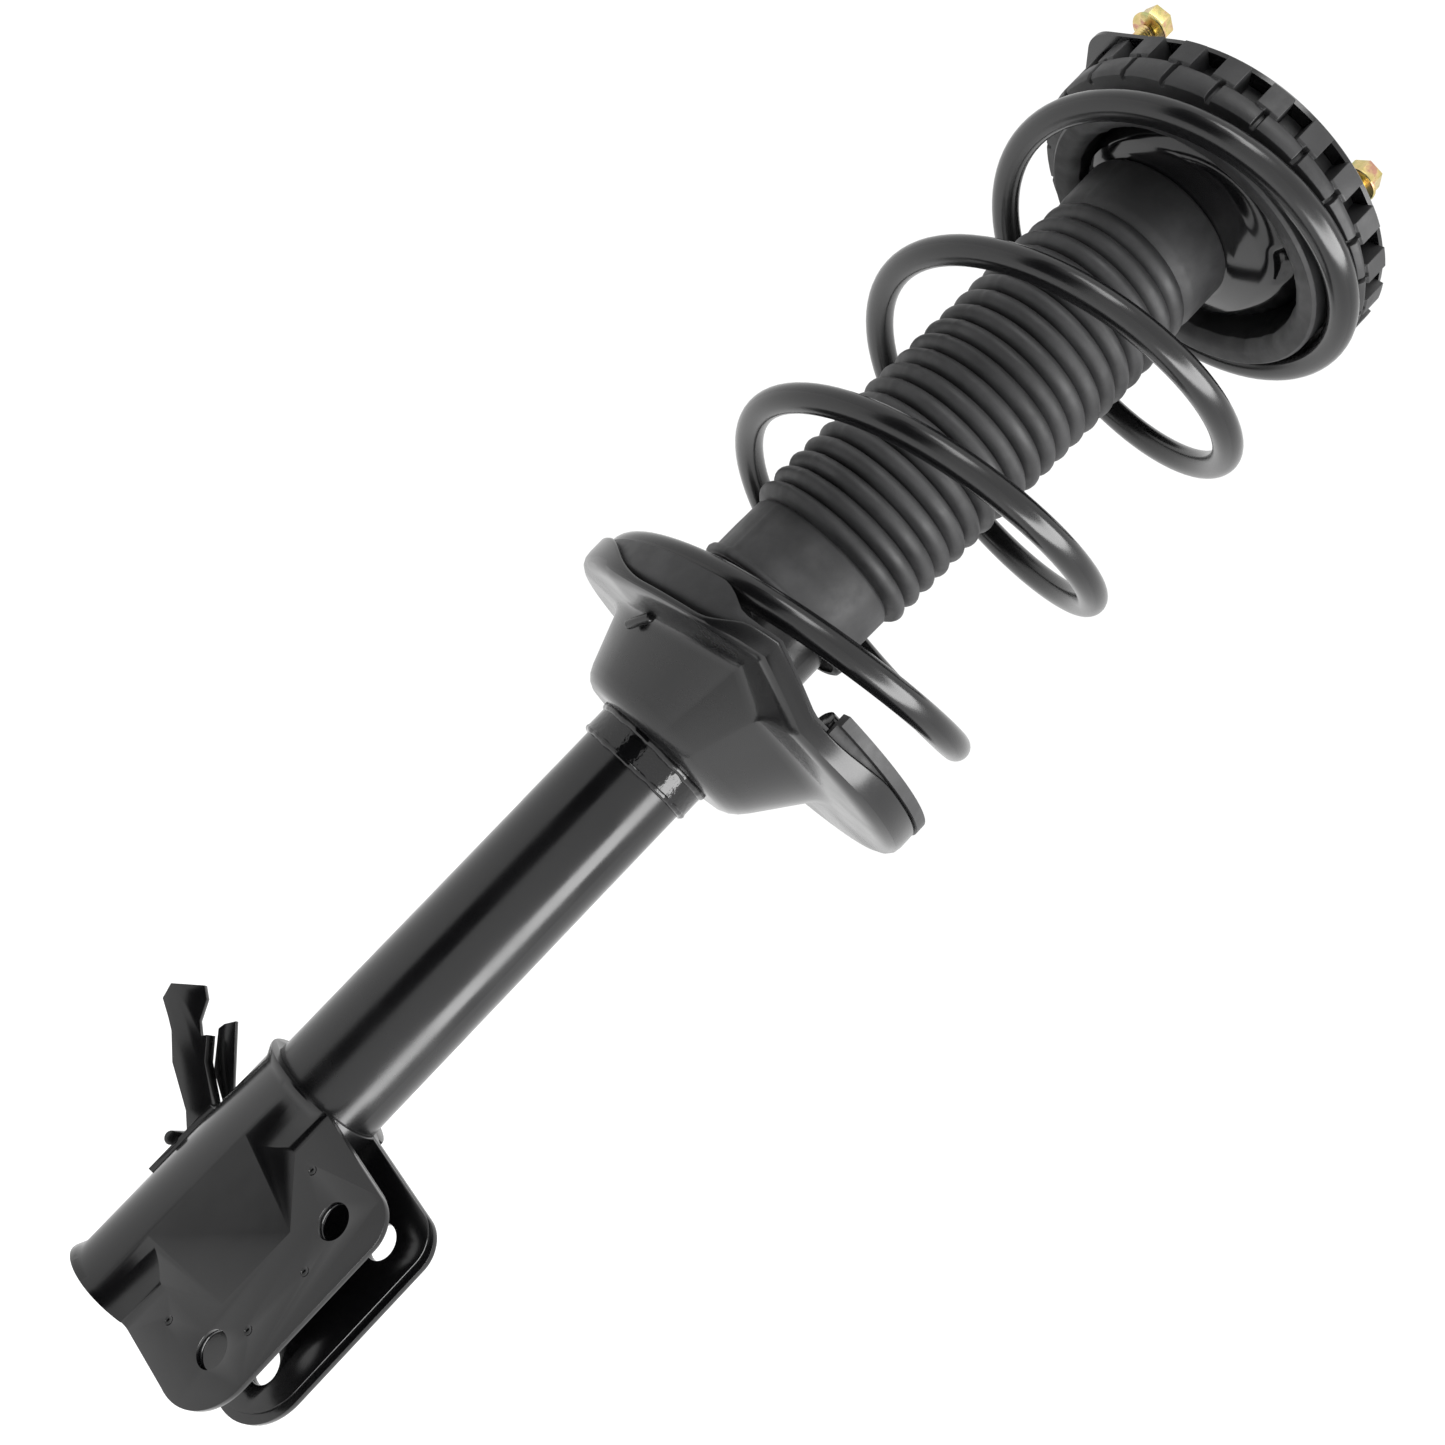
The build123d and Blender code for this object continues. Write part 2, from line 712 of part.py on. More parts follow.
hump_angles = [hump_start + 10 * i for i in range(7)] + [304, 308, 315, 322, hump_end]
with BuildPart() as spring_pan:
    add(pan_section(hump_end, 0))
    revolve(axis=Axis((pan_x, 0, 0), (0, 0, 1)), revolution_arc=360 - hump_end + hump_start)
    loft(sections=[pan_section(angle, hump_lift(angle)) for angle in hump_angles])
    with BuildSketch(Plane.XY.offset(level(pan_height) - 1)):
        with Locations((bucket_shift, 0)):
            Circle(bucket_high_r)
    extrude(amount=30, mode=Mode.SUBTRACT)
finish(spring_pan, "spring_pan")

floor_top = pan_height + seat_sheet
pad_top = floor_top + pad
rim_inner = pan_r - seat_sheet
rim_top = pan_height + rim_height
with BuildPart() as lower_insulator:
    # pad under the first coil, with a ridge inside it
    with BuildSketch(side_plane(wire_start, (spring_x, 0, 0))):
        with BuildLine():
            Polyline(
                (60, level(floor_top)),
                (pan_r - 9, level(floor_top)),
                (pan_r - 9, level(pad_top)),
                (coil_r - wire_r - 0.1, level(pad_top)),
                (coil_r - wire_r - 0.1, level(rim_top - 2)),
                (60, level(rim_top - 2)),
                close=True,
            )
        make_face()
    revolve(axis=Axis((spring_x, 0, 0), (0, 0, 1)), revolution_arc=hump_start - wire_start)
    # on the open side it turns up inside the rim and folds out over it
    with BuildSketch(side_plane(wire_start, (pan_x, 0, 0))):
        with BuildLine():
            Polyline(
                (72, level(floor_top)),
                (pan_r - 7, level(floor_top)),
                (pan_r - 4, level(pan_height + 4.2)),
                (rim_inner, level(pan_height + 7.5)),
                (rim_inner, level(rim_top + 0.2)),
                (pan_r + 0.8, level(rim_top + 0.8)),
                (pan_r + 0.8, level(rim_top + 5.6)),
                (rim_inner - 1.2, level(rim_top + 5.6)),
                (rim_inner - 1.2, level(312)),
                (rim_inner - 3.1, level(pad_top)),
                (72, level(pad_top)),
                close=True,
            )
        make_face()
    revolve(axis=Axis((pan_x, 0, 0), (0, 0, 1)), revolution_arc=100 - wire_start)
    with BuildSketch(Plane.XY.offset(level(pan_height))):
        with Locations((bucket_shift, 0)):
            Circle(bucket_high_r + 0.05)
    extrude(amount=30, mode=Mode.SUBTRACT)
finish(lower_insulator, "lower_insulator")
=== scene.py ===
import logging
from dataclasses import dataclass, field
from enum import Enum
from math import cos, pi, radians, sin, sqrt

import bmesh
import bpy
from mathutils import Matrix, Quaternion, Vector, noise


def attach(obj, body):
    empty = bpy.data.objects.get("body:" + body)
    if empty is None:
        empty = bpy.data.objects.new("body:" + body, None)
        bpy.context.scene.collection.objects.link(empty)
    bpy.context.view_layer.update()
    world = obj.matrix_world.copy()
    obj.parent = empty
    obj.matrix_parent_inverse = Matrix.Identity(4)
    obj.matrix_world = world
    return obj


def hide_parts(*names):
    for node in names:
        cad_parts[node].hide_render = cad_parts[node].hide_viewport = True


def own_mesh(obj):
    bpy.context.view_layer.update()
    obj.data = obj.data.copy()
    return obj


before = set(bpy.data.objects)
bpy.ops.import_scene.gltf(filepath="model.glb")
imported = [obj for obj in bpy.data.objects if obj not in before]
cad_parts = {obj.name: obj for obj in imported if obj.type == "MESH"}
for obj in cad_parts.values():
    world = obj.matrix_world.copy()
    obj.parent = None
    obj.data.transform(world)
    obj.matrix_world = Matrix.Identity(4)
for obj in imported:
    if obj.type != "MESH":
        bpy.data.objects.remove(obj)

LOG = logging.getLogger("strut")
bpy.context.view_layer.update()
MM = 0.001
PLATE_HEIGHT = 614.0  # top plate's upper face, in mm above the lower knuckle bolt, where heights start


class Body(Enum):
    """Rigid bodies of the strut that pieces ride on."""

    TOP = "top_mount"
    HOUSING = "strut_housing"


class Slot(Enum):
    """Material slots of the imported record."""

    PAINT = "black_paint"
    BRACKET = "bracket_paint"
    SPRING = "spring_paint"
    ZINC = "yellow_zinc"
    BOOT = "boot_rubber"
    ISOLATOR = "isolator_rubber"


def point(radius: float, height: float, angle: float = 0.0, centre_x: float = 0.0) -> Vector:
    """Places a point round an upright axis.

    Args:
        radius: distance from that axis, in mm.
        height: height above the lower knuckle bolt, in mm.
        angle: degrees anticlockwise from +X.
        centre_x: where the axis crosses X, in mm.

    Returns:
        The point in the row frame, in metres.
    """
    turn = radians(angle)
    return Vector((centre_x + radius * cos(turn), radius * sin(turn), height - PLATE_HEIGHT)) * MM


def ease(value: float, start: float, end: float) -> float:
    """Returns a smooth 0 to 1 ramp of value between start and end."""
    part = min(max((value - start) / (end - start), 0.0), 1.0)
    return part * part * (3 - 2 * part)


# ---------------------------------------------------------------- finishes

Links = dict[str | int, object]


def linear(code: str) -> tuple[float, float, float, float]:
    """Turns an sRGB hex colour such as "#2b2c2e" into linear red, green, blue and alpha."""
    parts = [int(code[i : i + 2], 16) / 255 for i in (1, 3, 5)]
    straight = [c / 12.92 if c <= 0.04045 else ((c + 0.055) / 1.055) ** 2.4 for c in parts]
    return (straight[0], straight[1], straight[2], 1.0)


def add_node(
    tree: bpy.types.NodeTree, kind: str, settings: dict[str, object] | None = None, inputs: Links | None = None
) -> bpy.types.Node:
    """Adds one shader node.

    Args:
        tree: node tree that gets it.
        kind: Blender's type name for the node.
        settings: attributes to set on the node.
        inputs: socket name or number to a plain value, or to the output socket that feeds it.

    Returns:
        The new node.
    """
    node = tree.nodes.new(kind)
    for name, value in (settings or {}).items():
        setattr(node, name, value)
    for key, value in (inputs or {}).items():
        if isinstance(value, bpy.types.NodeSocket):
            tree.links.new(value, node.inputs[key])
        else:
            node.inputs[key].default_value = value
    return node


def ramp(
    tree: bpy.types.NodeTree, factor: bpy.types.NodeSocket, stops: list[tuple[float, str]]
) -> bpy.types.NodeSocket:
    """Adds a colour ramp through (position, hex colour) stops and returns its colour output."""
    node = add_node(tree, "ShaderNodeValToRGB", inputs={"Fac": factor})
    elements = node.color_ramp.elements
    while len(elements) < len(stops):
        elements.new(0.5)
    for element, (position, code) in zip(elements, stops):
        element.position = position
        element.color = linear(code)
    return node.outputs["Color"]


@dataclass(frozen=True)
class Finish:
    """Base of every finish: a Principled shader, with patterns sized in mm on Object coordinates."""

    name: str

    def material(self) -> bpy.types.Material:
        """Returns the finish's Blender material, made once."""
        known = bpy.data.materials.get(self.name)
        if known:
            return known
        made = bpy.data.materials.new(self.name)
        made.use_nodes = True
        tree = made.node_tree
        tree.nodes.clear()
        shader = add_node(tree, "ShaderNodeBsdfPrincipled")
        add_node(tree, "ShaderNodeOutputMaterial", inputs={"Surface": shader.outputs["BSDF"]})
        self.dress(tree, shader)
        return made

    def dress(self, tree: bpy.types.NodeTree, shader: bpy.types.Node) -> None:
        """Wires this finish's colour, roughness and bump into the shader."""
        raise NotImplementedError

    @staticmethod
    def grain(
        tree: bpy.types.NodeTree,
        size: float,
        detail: float = 2.0,
        stretch: tuple[float, float, float] = (1, 1, 1),
    ) -> bpy.types.NodeSocket:
        """Adds noise whose blobs are about size mm across.

        Args:
            tree: node tree that gets it.
            size: blob size in mm.
            detail: octaves of finer noise.
            stretch: how much finer the pattern is along X, Y and Z.

        Returns:
            The noise's 0 to 1 output.
        """
        place = add_node(tree, "ShaderNodeTexCoord")
        scale = tuple(1 / MM * s for s in stretch)
        scaled = add_node(
            tree, "ShaderNodeMapping", inputs={"Vector": place.outputs["Object"], "Scale": scale}
        )
        cloud = add_node(
            tree,
            "ShaderNodeTexNoise",
            inputs={"Vector": scaled.outputs["Vector"], "Scale": 1 / size, "Detail": detail, "Roughness": 0.55},
        )
        return cloud.outputs["Fac"]

    @staticmethod
    def spread(
        tree: bpy.types.NodeTree,
        value: bpy.types.NodeSocket,
        low: float,
        high: float,
        edges: tuple[float, float] = (0.3, 0.7),
    ) -> bpy.types.NodeSocket:
        """Maps a 0 to 1 pattern, between its two edges, onto low to high."""
        node = add_node(
            tree,
            "ShaderNodeMapRange",
            inputs={"Value": value, "From Min": edges[0], "From Max": edges[1], "To Min": low, "To Max": high},
        )
        return node.outputs["Result"]

    @staticmethod
    def bump(
        tree: bpy.types.NodeTree,
        shader: bpy.types.Node,
        layers: list[tuple[bpy.types.NodeSocket, float]],
    ) -> None:
        """Stacks bump layers on a shader, each a pattern and its relief in mm."""
        normal = None
        for pattern, relief in layers:
            links: Links = {"Height": pattern, "Distance": relief * MM, "Strength": 1.0}
            if normal:
                links["Normal"] = normal
            normal = add_node(tree, "ShaderNodeBump", inputs=links).outputs["Normal"]
        tree.links.new(normal, shader.inputs["Normal"])


@dataclass(frozen=True)
class BakedPaint(Finish):
    """Black baked paint over pressed steel: glossy, a little orange peel, dulled here and there by handling."""

    colour: str = "#0b0b0c"
    dusty: str = "#1b1c1e"
    gloss: tuple[float, float] = (0.16, 0.30)
    peel: float = 0.003  # relief of the orange peel, in mm
    waviness: float = 0.03  # slow relief of the pressed sheet under the paint, in mm

    def dress(self, tree: bpy.types.NodeTree, shader: bpy.types.Node) -> None:
        """Wires colour with faint dust, patchy gloss, orange peel and the sheet's waviness."""
        patches = self.grain(tree, 38.0, 4.0)
        specks = self.grain(tree, 1.3, 3.0)
        dust = self.spread(tree, specks, 0.0, 0.25, (0.62, 0.82))
        dusted = add_node(
            tree,
            "ShaderNodeMix",
            {"data_type": "RGBA"},
            {"Factor": dust, "A": linear(self.colour), "B": linear(self.dusty)},
        )
        tree.links.new(dusted.outputs["Result"], shader.inputs["Base Color"])
        tree.links.new(self.spread(tree, patches, *self.gloss), shader.inputs["Roughness"])
        shader.inputs["IOR"].default_value = 1.52
        waves, peel = self.grain(tree, 16.0, 1.0), self.grain(tree, 1.6, 1.0)
        self.bump(tree, shader, [(waves, self.waviness), (peel, self.peel)])


@dataclass(frozen=True)
class WeldPaint(BakedPaint):
    """The same paint over welds and their spatter: rippled and pitted, so it glitters."""

    def dress(self, tree: bpy.types.NodeTree, shader: bpy.types.Node) -> None:
        """Wires the paint with coarse ripples and pits."""
        super().dress(tree, shader)
        ripple = self.grain(tree, 2.4, 2.0)
        self.bump(tree, shader, [(ripple, 0.16), (self.grain(tree, 0.8, 1.0), 0.02)])


@dataclass(frozen=True)
class MouldedRubber(Finish):
    """Carbon black rubber out of a spark-eroded mould: matte, greyed by bloom, with a fine skin texture."""

    colour: str = "#1d1e20"
    bloom: str = "#2e2f32"
    roughness: tuple[float, float] = (0.50, 0.66)
    skin: float = 0.03  # relief of the mould texture, in mm

    def dress(self, tree: bpy.types.NodeTree, shader: bpy.types.Node) -> None:
        """Wires mottled colour, patchy dullness and the mould's texture."""
        mottled = ramp(tree, self.grain(tree, 22.0, 5.0), [(0.36, self.colour), (0.66, self.bloom)])
        tree.links.new(mottled, shader.inputs["Base Color"])
        dull = self.spread(tree, self.grain(tree, 9.0, 3.0), *self.roughness)
        tree.links.new(dull, shader.inputs["Roughness"])
        shader.inputs["IOR"].default_value = 1.52
        fine, coarse = self.grain(tree, 0.9, 3.0), self.grain(tree, 7.0, 1.0)
        self.bump(tree, shader, [(fine, self.skin), (coarse, self.skin * 2)])


@dataclass(frozen=True)
class YellowZinc(Finish):
    """Yellow chromate over zinc plate: brassy metal whose thin film drifts to green and pink."""

    def dress(self, tree: bpy.types.NodeTree, shader: bpy.types.Node) -> None:
        """Wires the drifting film colour, patchy dullness and fine plating grain."""
        film = ramp(
            tree,
            self.grain(tree, 5.0, 2.0),
            [(0.30, "#a9ad78"), (0.44, "#c9b878"), (0.56, "#d4bd86"), (0.70, "#c0917c")],
        )
        tree.links.new(film, shader.inputs["Base Color"])
        shader.inputs["Metallic"].default_value = 1.0
        tree.links.new(self.spread(tree, self.grain(tree, 2.0, 3.0), 0.22, 0.42), shader.inputs["Roughness"])
        self.bump(tree, shader, [(self.grain(tree, 0.5, 2.0), 0.02)])


@dataclass(frozen=True)
class MachinedSteel(Finish):
    """Bare or plated steel, turned or drawn: bright metal with fine marks round its axis."""

    colour: str = "#a9abae"
    stain: str = "#85868a"
    roughness: tuple[float, float] = (0.20, 0.36)
    stretch: tuple[float, float, float] = (0.2, 0.2, 4.0)  # tool marks run round, so fine along the axis

    def dress(self, tree: bpy.types.NodeTree, shader: bpy.types.Node) -> None:
        """Wires stained metal colour, patchy gloss and tool marks."""
        stained = ramp(tree, self.grain(tree, 12.0, 4.0), [(0.38, self.stain), (0.6, self.colour)])
        tree.links.new(stained, shader.inputs["Base Color"])
        shader.inputs["Metallic"].default_value = 1.0
        dull = self.spread(tree, self.grain(tree, 6.0, 3.0), *self.roughness)
        tree.links.new(dull, shader.inputs["Roughness"])
        self.bump(tree, shader, [(self.grain(tree, 1.2, 2.0, self.stretch), 0.012)])


@dataclass(frozen=True)
class FoamedPolyurethane(Finish):
    """Cellular polyurethane: soft cream, with the open pores of its skin showing, coloured darker as painted
    shade where they sink in.
    """

    colour: str = "#c9b98a"
    # painted shade: colour of the pores where the bump sinks them
    pore_shade: str = "#8f8157"

    def dress(self, tree: bpy.types.NodeTree, shader: bpy.types.Node) -> None:
        """Wires pores into bump, and into colour as painted shade that darkens them where they sink in."""
        pores = self.grain(tree, 0.9, 2.0)
        # painted shade: darker colour wherever the pore pattern sinks the surface
        tree.links.new(ramp(tree, pores, [(0.40, self.pore_shade), (0.52, self.colour)]), shader.inputs["Base Color"])
        tree.links.new(self.spread(tree, pores, 0.9, 0.7), shader.inputs["Roughness"])
        self.bump(tree, shader, [(pores, 0.15)])


BLACK_PAINT = BakedPaint("baked_black_paint_on_pressed_steel")
BRACKET_PAINT = BakedPaint(
    "dipped_black_paint_on_bracket_plate", colour="#09090a", gloss=(0.14, 0.24), waviness=0.05
)
CUP_PAINT = BakedPaint("gloss_black_paint_on_drawn_cup", gloss=(0.08, 0.14), waviness=0.02)
SPRING_PAINT = BakedPaint(
    "gloss_black_powder_coat_on_spring_wire", colour="#0a0a0b", gloss=(0.17, 0.25), peel=0.004, waviness=0.02
)
WELD_PAINT = WeldPaint("black_paint_over_weld_bead", gloss=(0.10, 0.18))
BOOT_RUBBER = MouldedRubber("blow_moulded_boot_rubber", colour="#1c1c1d", bloom="#2c2c2d")
ISOLATOR_RUBBER = MouldedRubber(
    "moulded_isolator_rubber", colour="#151516", bloom="#222223", roughness=(0.46, 0.62), skin=0.05
)
PAD_RUBBER = MouldedRubber(
    "moulded_spring_pad_rubber", colour="#1c1c1d", bloom="#2b2b2c", roughness=(0.45, 0.62), skin=0.05
)
YELLOW_ZINC = YellowZinc("yellow_chromate_zinc_plate")
CLEAR_ZINC = MachinedSteel("clear_zinc_plate")
HARD_CHROME = MachinedSteel("ground_hard_chrome", colour="#c9cbce", stain="#b9bbbf", roughness=(0.06, 0.12))
DRAWN_STEEL = MachinedSteel("drawn_steel_tube", colour="#8d8f92", stain="#6f7175", roughness=(0.28, 0.42))
SINTERED_IRON = MachinedSteel(
    "sintered_iron", colour="#6b6c6e", stain="#4d4e50", roughness=(0.45, 0.6), stretch=(1, 1, 1)
)
LINED_BRONZE = MachinedSteel("lined_bronze_bush", colour="#b98f56", stain="#8f6c3f", roughness=(0.3, 0.42))
FILLED_PTFE = MouldedRubber(
    "filled_ptfe_band", colour="#2a2b2d", bloom="#3a3b3e", roughness=(0.35, 0.45), skin=0.01
)
BUMP_FOAM = FoamedPolyurethane("cellular_polyurethane_foam")

# ---------------------------------------------------------------- mesh helpers


def piece_from(
    bm: bmesh.types.BMesh, name: str, finish: Finish, smooth_below: float = 35.0
) -> bpy.types.Object:
    """Turns a bmesh into a finished piece with its faces outwards.

    Args:
        bm: the shape, in metres in the row frame. It is freed.
        name: name of the piece.
        finish: finish for all its faces.
        smooth_below: edges bent less than this many degrees are shaded smooth.

    Returns:
        The new object, at the origin.
    """
    bmesh.ops.remove_doubles(bm, verts=bm.verts, dist=1e-6)
    bmesh.ops.recalc_face_normals(bm, faces=bm.faces)
    mesh = bpy.data.meshes.new(name)
    bm.to_mesh(mesh)
    bm.free()
    piece = bpy.data.objects.new(name, mesh)
    bpy.context.scene.collection.objects.link(piece)
    mesh.materials.append(finish.material())
    mesh.set_sharp_from_angle(angle=radians(smooth_below))
    LOG.info("%s: %d faces", name, len(mesh.polygons))
    return piece


def loop_of(bm: bmesh.types.BMesh, corners: list[Vector], closed: bool = True) -> list[bmesh.types.BMEdge]:
    """Adds a loop of edges through the corners and returns its edges."""
    verts = [bm.verts.new(corner) for corner in corners]
    ends = verts[1:] + verts[:1] if closed else verts[1:]
    return [bm.edges.new(pair) for pair in zip(verts, ends)]


def append(target: bmesh.types.BMesh, source: bmesh.types.BMesh) -> None:
    """Adds one bmesh's shape to another and frees it."""
    held = bpy.data.meshes.new("held")
    source.to_mesh(held)
    source.free()
    target.from_mesh(held)
    bpy.data.meshes.remove(held)


def bevelled(bm: bmesh.types.BMesh, edges: list[bmesh.types.BMEdge], width: float, segments: int = 2) -> None:
    """Rounds edges of a bmesh over a width in mm."""
    bmesh.ops.bevel(
        bm,
        geom=edges,
        offset=width * MM,
        affect="EDGES",
        segments=segments,
        profile=0.5,
        material=-1,
        clamp_overlap=True,
    )


def spun(bm: bmesh.types.BMesh, corners: list[tuple[float, float]], steps: int, closed: bool = True) -> None:
    """Spins a section of (radius, height) corners, in mm, a full turn round the damper's axis.

    Args:
        bm: bmesh that gets the skin.
        corners: the section, a closed outline or an open one that starts and ends on the axis.
        steps: number of flats round the turn.
        closed: whether the section's last corner joins its first.
    """
    edges = loop_of(bm, [point(r, h) for r, h in corners], closed)
    verts = list({v for edge in edges for v in edge.verts})
    bmesh.ops.spin(
        bm, geom=verts + edges, cent=(0, 0, 0), axis=(0, 0, 1), angle=2 * pi, steps=steps, use_merge=True
    )


def joined_sections(bm: bmesh.types.BMesh, sections: list[list[Vector]], closed: bool) -> None:
    """Bridges a row of closed sections into one skin.

    Args:
        bm: bmesh that gets the skin.
        sections: outlines with the same number of corners each.
        closed: whether the last section joins the first; otherwise both ends get a cap.
    """
    loops = [loop_of(bm, corners) for corners in sections]
    pairs = list(zip(loops, loops[1:] + loops[:1] if closed else loops[1:]))
    for near, far in pairs:
        bmesh.ops.bridge_loops(bm, edges=near + far)
    if not closed:
        for end in (loops[0], loops[-1]):
            bmesh.ops.contextual_create(bm, geom=end)


def rounded(
    corners: list[tuple[float, float, float, float]], steps: int = 4
) -> list[tuple[float, float, float]]:
    """Rounds the corners of a section.

    Args:
        corners: (radius, height, centre x, reach of the rounding) in mm.
        steps: pieces that each rounding is divided into.

    Returns:
        (radius, height, centre x) along the rounded section.
    """
    path: list[tuple[float, float, float]] = []
    for index, (r, h, cx, reach) in enumerate(corners):
        here = Vector((r, h, cx))
        if reach <= 0 or index in (0, len(corners) - 1):
            path.append((r, h, cx))
            continue
        before = Vector(corners[index - 1][:3]) - here
        after = Vector(corners[index + 1][:3]) - here
        start = here + before.normalized() * min(reach, before.length * 0.49)
        end = here + after.normalized() * min(reach, after.length * 0.49)
        for step in range(steps + 1):
            t = step / steps
            spot = start * (1 - t) ** 2 + here * 2 * t * (1 - t) + end * t * t
            path.append((spot.x, spot.y, spot.z))
    return path


def softened_copy(name: str, node: str, finish: Finish, width: float, angle: float = 28.0) -> bpy.types.Object:
    """Makes a copy of a CAD node whose sharp edges are rounded like pressed and sheared sheet.

    Args:
        name: name of the new piece.
        node: CAD node to copy.
        finish: finish of the copy.
        width: width of the rounding, in mm.
        angle: edges sharper than this many degrees are rounded.

    Returns:
        The new piece.
    """
    bm = bmesh.new()
    bm.from_mesh(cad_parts[node].data)
    bmesh.ops.remove_doubles(bm, verts=bm.verts, dist=2e-6)
    bmesh.ops.dissolve_limit(bm, angle_limit=radians(0.8), verts=bm.verts, edges=bm.edges)
    sharp = [e for e in bm.edges if e.is_manifold and e.calc_face_angle() > radians(angle)]
    bevelled(bm, sharp, width)
    return piece_from(bm, name, finish, 32)


def dress_node(node: str, finish: Finish) -> None:
    """Gives a CAD node that stays in view its finish."""
    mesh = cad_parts[node].data
    mesh.materials.clear()
    mesh.materials.append(finish.material())
    LOG.info("%s: carried over in %s", node, finish.name)


def settle(piece: bpy.types.Object, body: Body, slot: Slot, *nodes: str) -> bpy.types.Object:
    """Rides a piece on its body and stands it in for CAD nodes."""
    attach(piece, body.value)
    if nodes:
        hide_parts(*nodes)
    return piece


def weld_bead(name: str, radius: float, height: float, size: float, lean: float) -> bpy.types.Object:
    """Lays a weld bead round the tube.

    Args:
        name: name of the piece.
        radius: radius of the bead's middle, in mm.
        height: height of the bead's middle, in mm.
        size: bead's half width, in mm.
        lean: how much taller than deep the bead is.

    Returns:
        The bead.
    """
    stride = 2.5  # degrees between sections
    corners = 10  # of each section
    bm = bmesh.new()
    sections = []
    for index in range(int(360 / stride)):
        angle = stride * index
        drift = noise.noise(Vector((cos(radians(angle)) * 3, sin(radians(angle)) * 3, height)))
        ripple = 0.05 * sin(radians(angle * 24)) + 0.22 * noise.noise(Vector((angle * 0.11, height, 4.0)))
        fat = size * (1 + ripple)
        middle = height + drift * size * 0.5
        turns = [2 * pi * k / corners for k in range(corners)]
        sections.append([point(radius + fat * cos(t), middle + fat * lean * sin(t), angle) for t in turns])
    joined_sections(bm, sections, True)
    return settle(piece_from(bm, name, WELD_PAINT, 60), Body.HOUSING, Slot.PAINT)


# ---------------------------------------------------------------- sub-assemblies


@dataclass
class SpringWire:
    """The coil's path: closed at both ends, with an even pitch between them. Lengths in mm."""

    axis_x: float = 15.0
    coil_r: float = 76.9
    wire_r: float = 6.1
    seat_height: float = 315.0
    pitch: float = 83.5
    start: float = -28.0
    end: float = 1600.0
    lift_off: tuple[float, float] = (150.0, 290.0)
    set_down: tuple[float, float] = (1320.0, 1491.0)
    travel: float = 110.0
    sides: int = 28
    step: float = 4.0

    @staticmethod
    def eased(angle: float, start: float, end: float) -> float:
        """Returns the degrees of full pitch gained by an angle when the pitch fades in from start to end."""
        part = min(max((angle - start) / (end - start), 0.0), 1.0)
        return (end - start) * (part**3 - part**4 / 2) + max(angle - end, 0.0)

    def height(self, angle: float) -> float:
        """Returns the height of the wire's middle at an angle along the coil."""
        wound = self.eased(angle, *self.lift_off) - self.eased(angle, *self.set_down)
        return self.seat_height + self.pitch * wound / 360

    def keep(self) -> float:
        """Returns the share of the coil's length that is left at full travel."""
        tall = self.height(self.end) - self.seat_height + 2 * self.wire_r
        return (tall - self.travel) / tall

    def reach(self, angle: float) -> float:
        """Returns the highest that the wire's top gets at an angle, with the coil pressed together."""
        top = self.height(self.end)
        return top + self.wire_r - self.keep() * (top - self.height(min(angle, self.end)))

    def build(self) -> bpy.types.Object:
        """Makes the coil by turning and lifting a ring of wire step by step, with chamfered cut ends."""
        bm = bmesh.new()
        ring = bmesh.ops.create_circle(bm, segments=self.sides, radius=self.wire_r * MM)["verts"]
        stand = Matrix.Rotation(radians(90), 4, "X")
        turn = Matrix.Rotation(radians(self.start), 4, "Z")
        out = Matrix.Translation((self.coil_r * MM, 0, 0))
        bmesh.ops.transform(bm, matrix=turn @ out @ stand, verts=ring)
        lift = Vector((self.axis_x, 0, self.height(self.start) - PLATE_HEIGHT)) * MM
        bmesh.ops.translate(bm, vec=lift, verts=ring)
        first = list(bm.edges)
        geom: list = list(ring) + first
        angle = self.start
        while angle < self.end - 0.01:
            rise = self.height(angle + self.step) - self.height(angle)
            spin = bmesh.ops.spin(
                bm,
                geom=geom,
                cent=(self.axis_x * MM, 0, 0),
                axis=(0, 0, 1),
                dvec=(0, 0, rise * MM),
                angle=radians(self.step),
                steps=1,
            )
            geom = spin["geom_last"]
            angle += self.step
        for rim in (first, [e for e in geom if isinstance(e, bmesh.types.BMEdge)]):
            cap = bmesh.ops.contextual_create(bm, geom=rim)["faces"]
            bmesh.ops.inset_region(bm, faces=cap, thickness=0.7 * MM, depth=0.5 * MM)
        coil = piece_from(bm, "coil_spring_wire", SPRING_PAINT, 50)
        settle(coil, Body.HOUSING, Slot.SPRING, "coil_spring")
        self.keep()
        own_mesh(coil)
        return coil


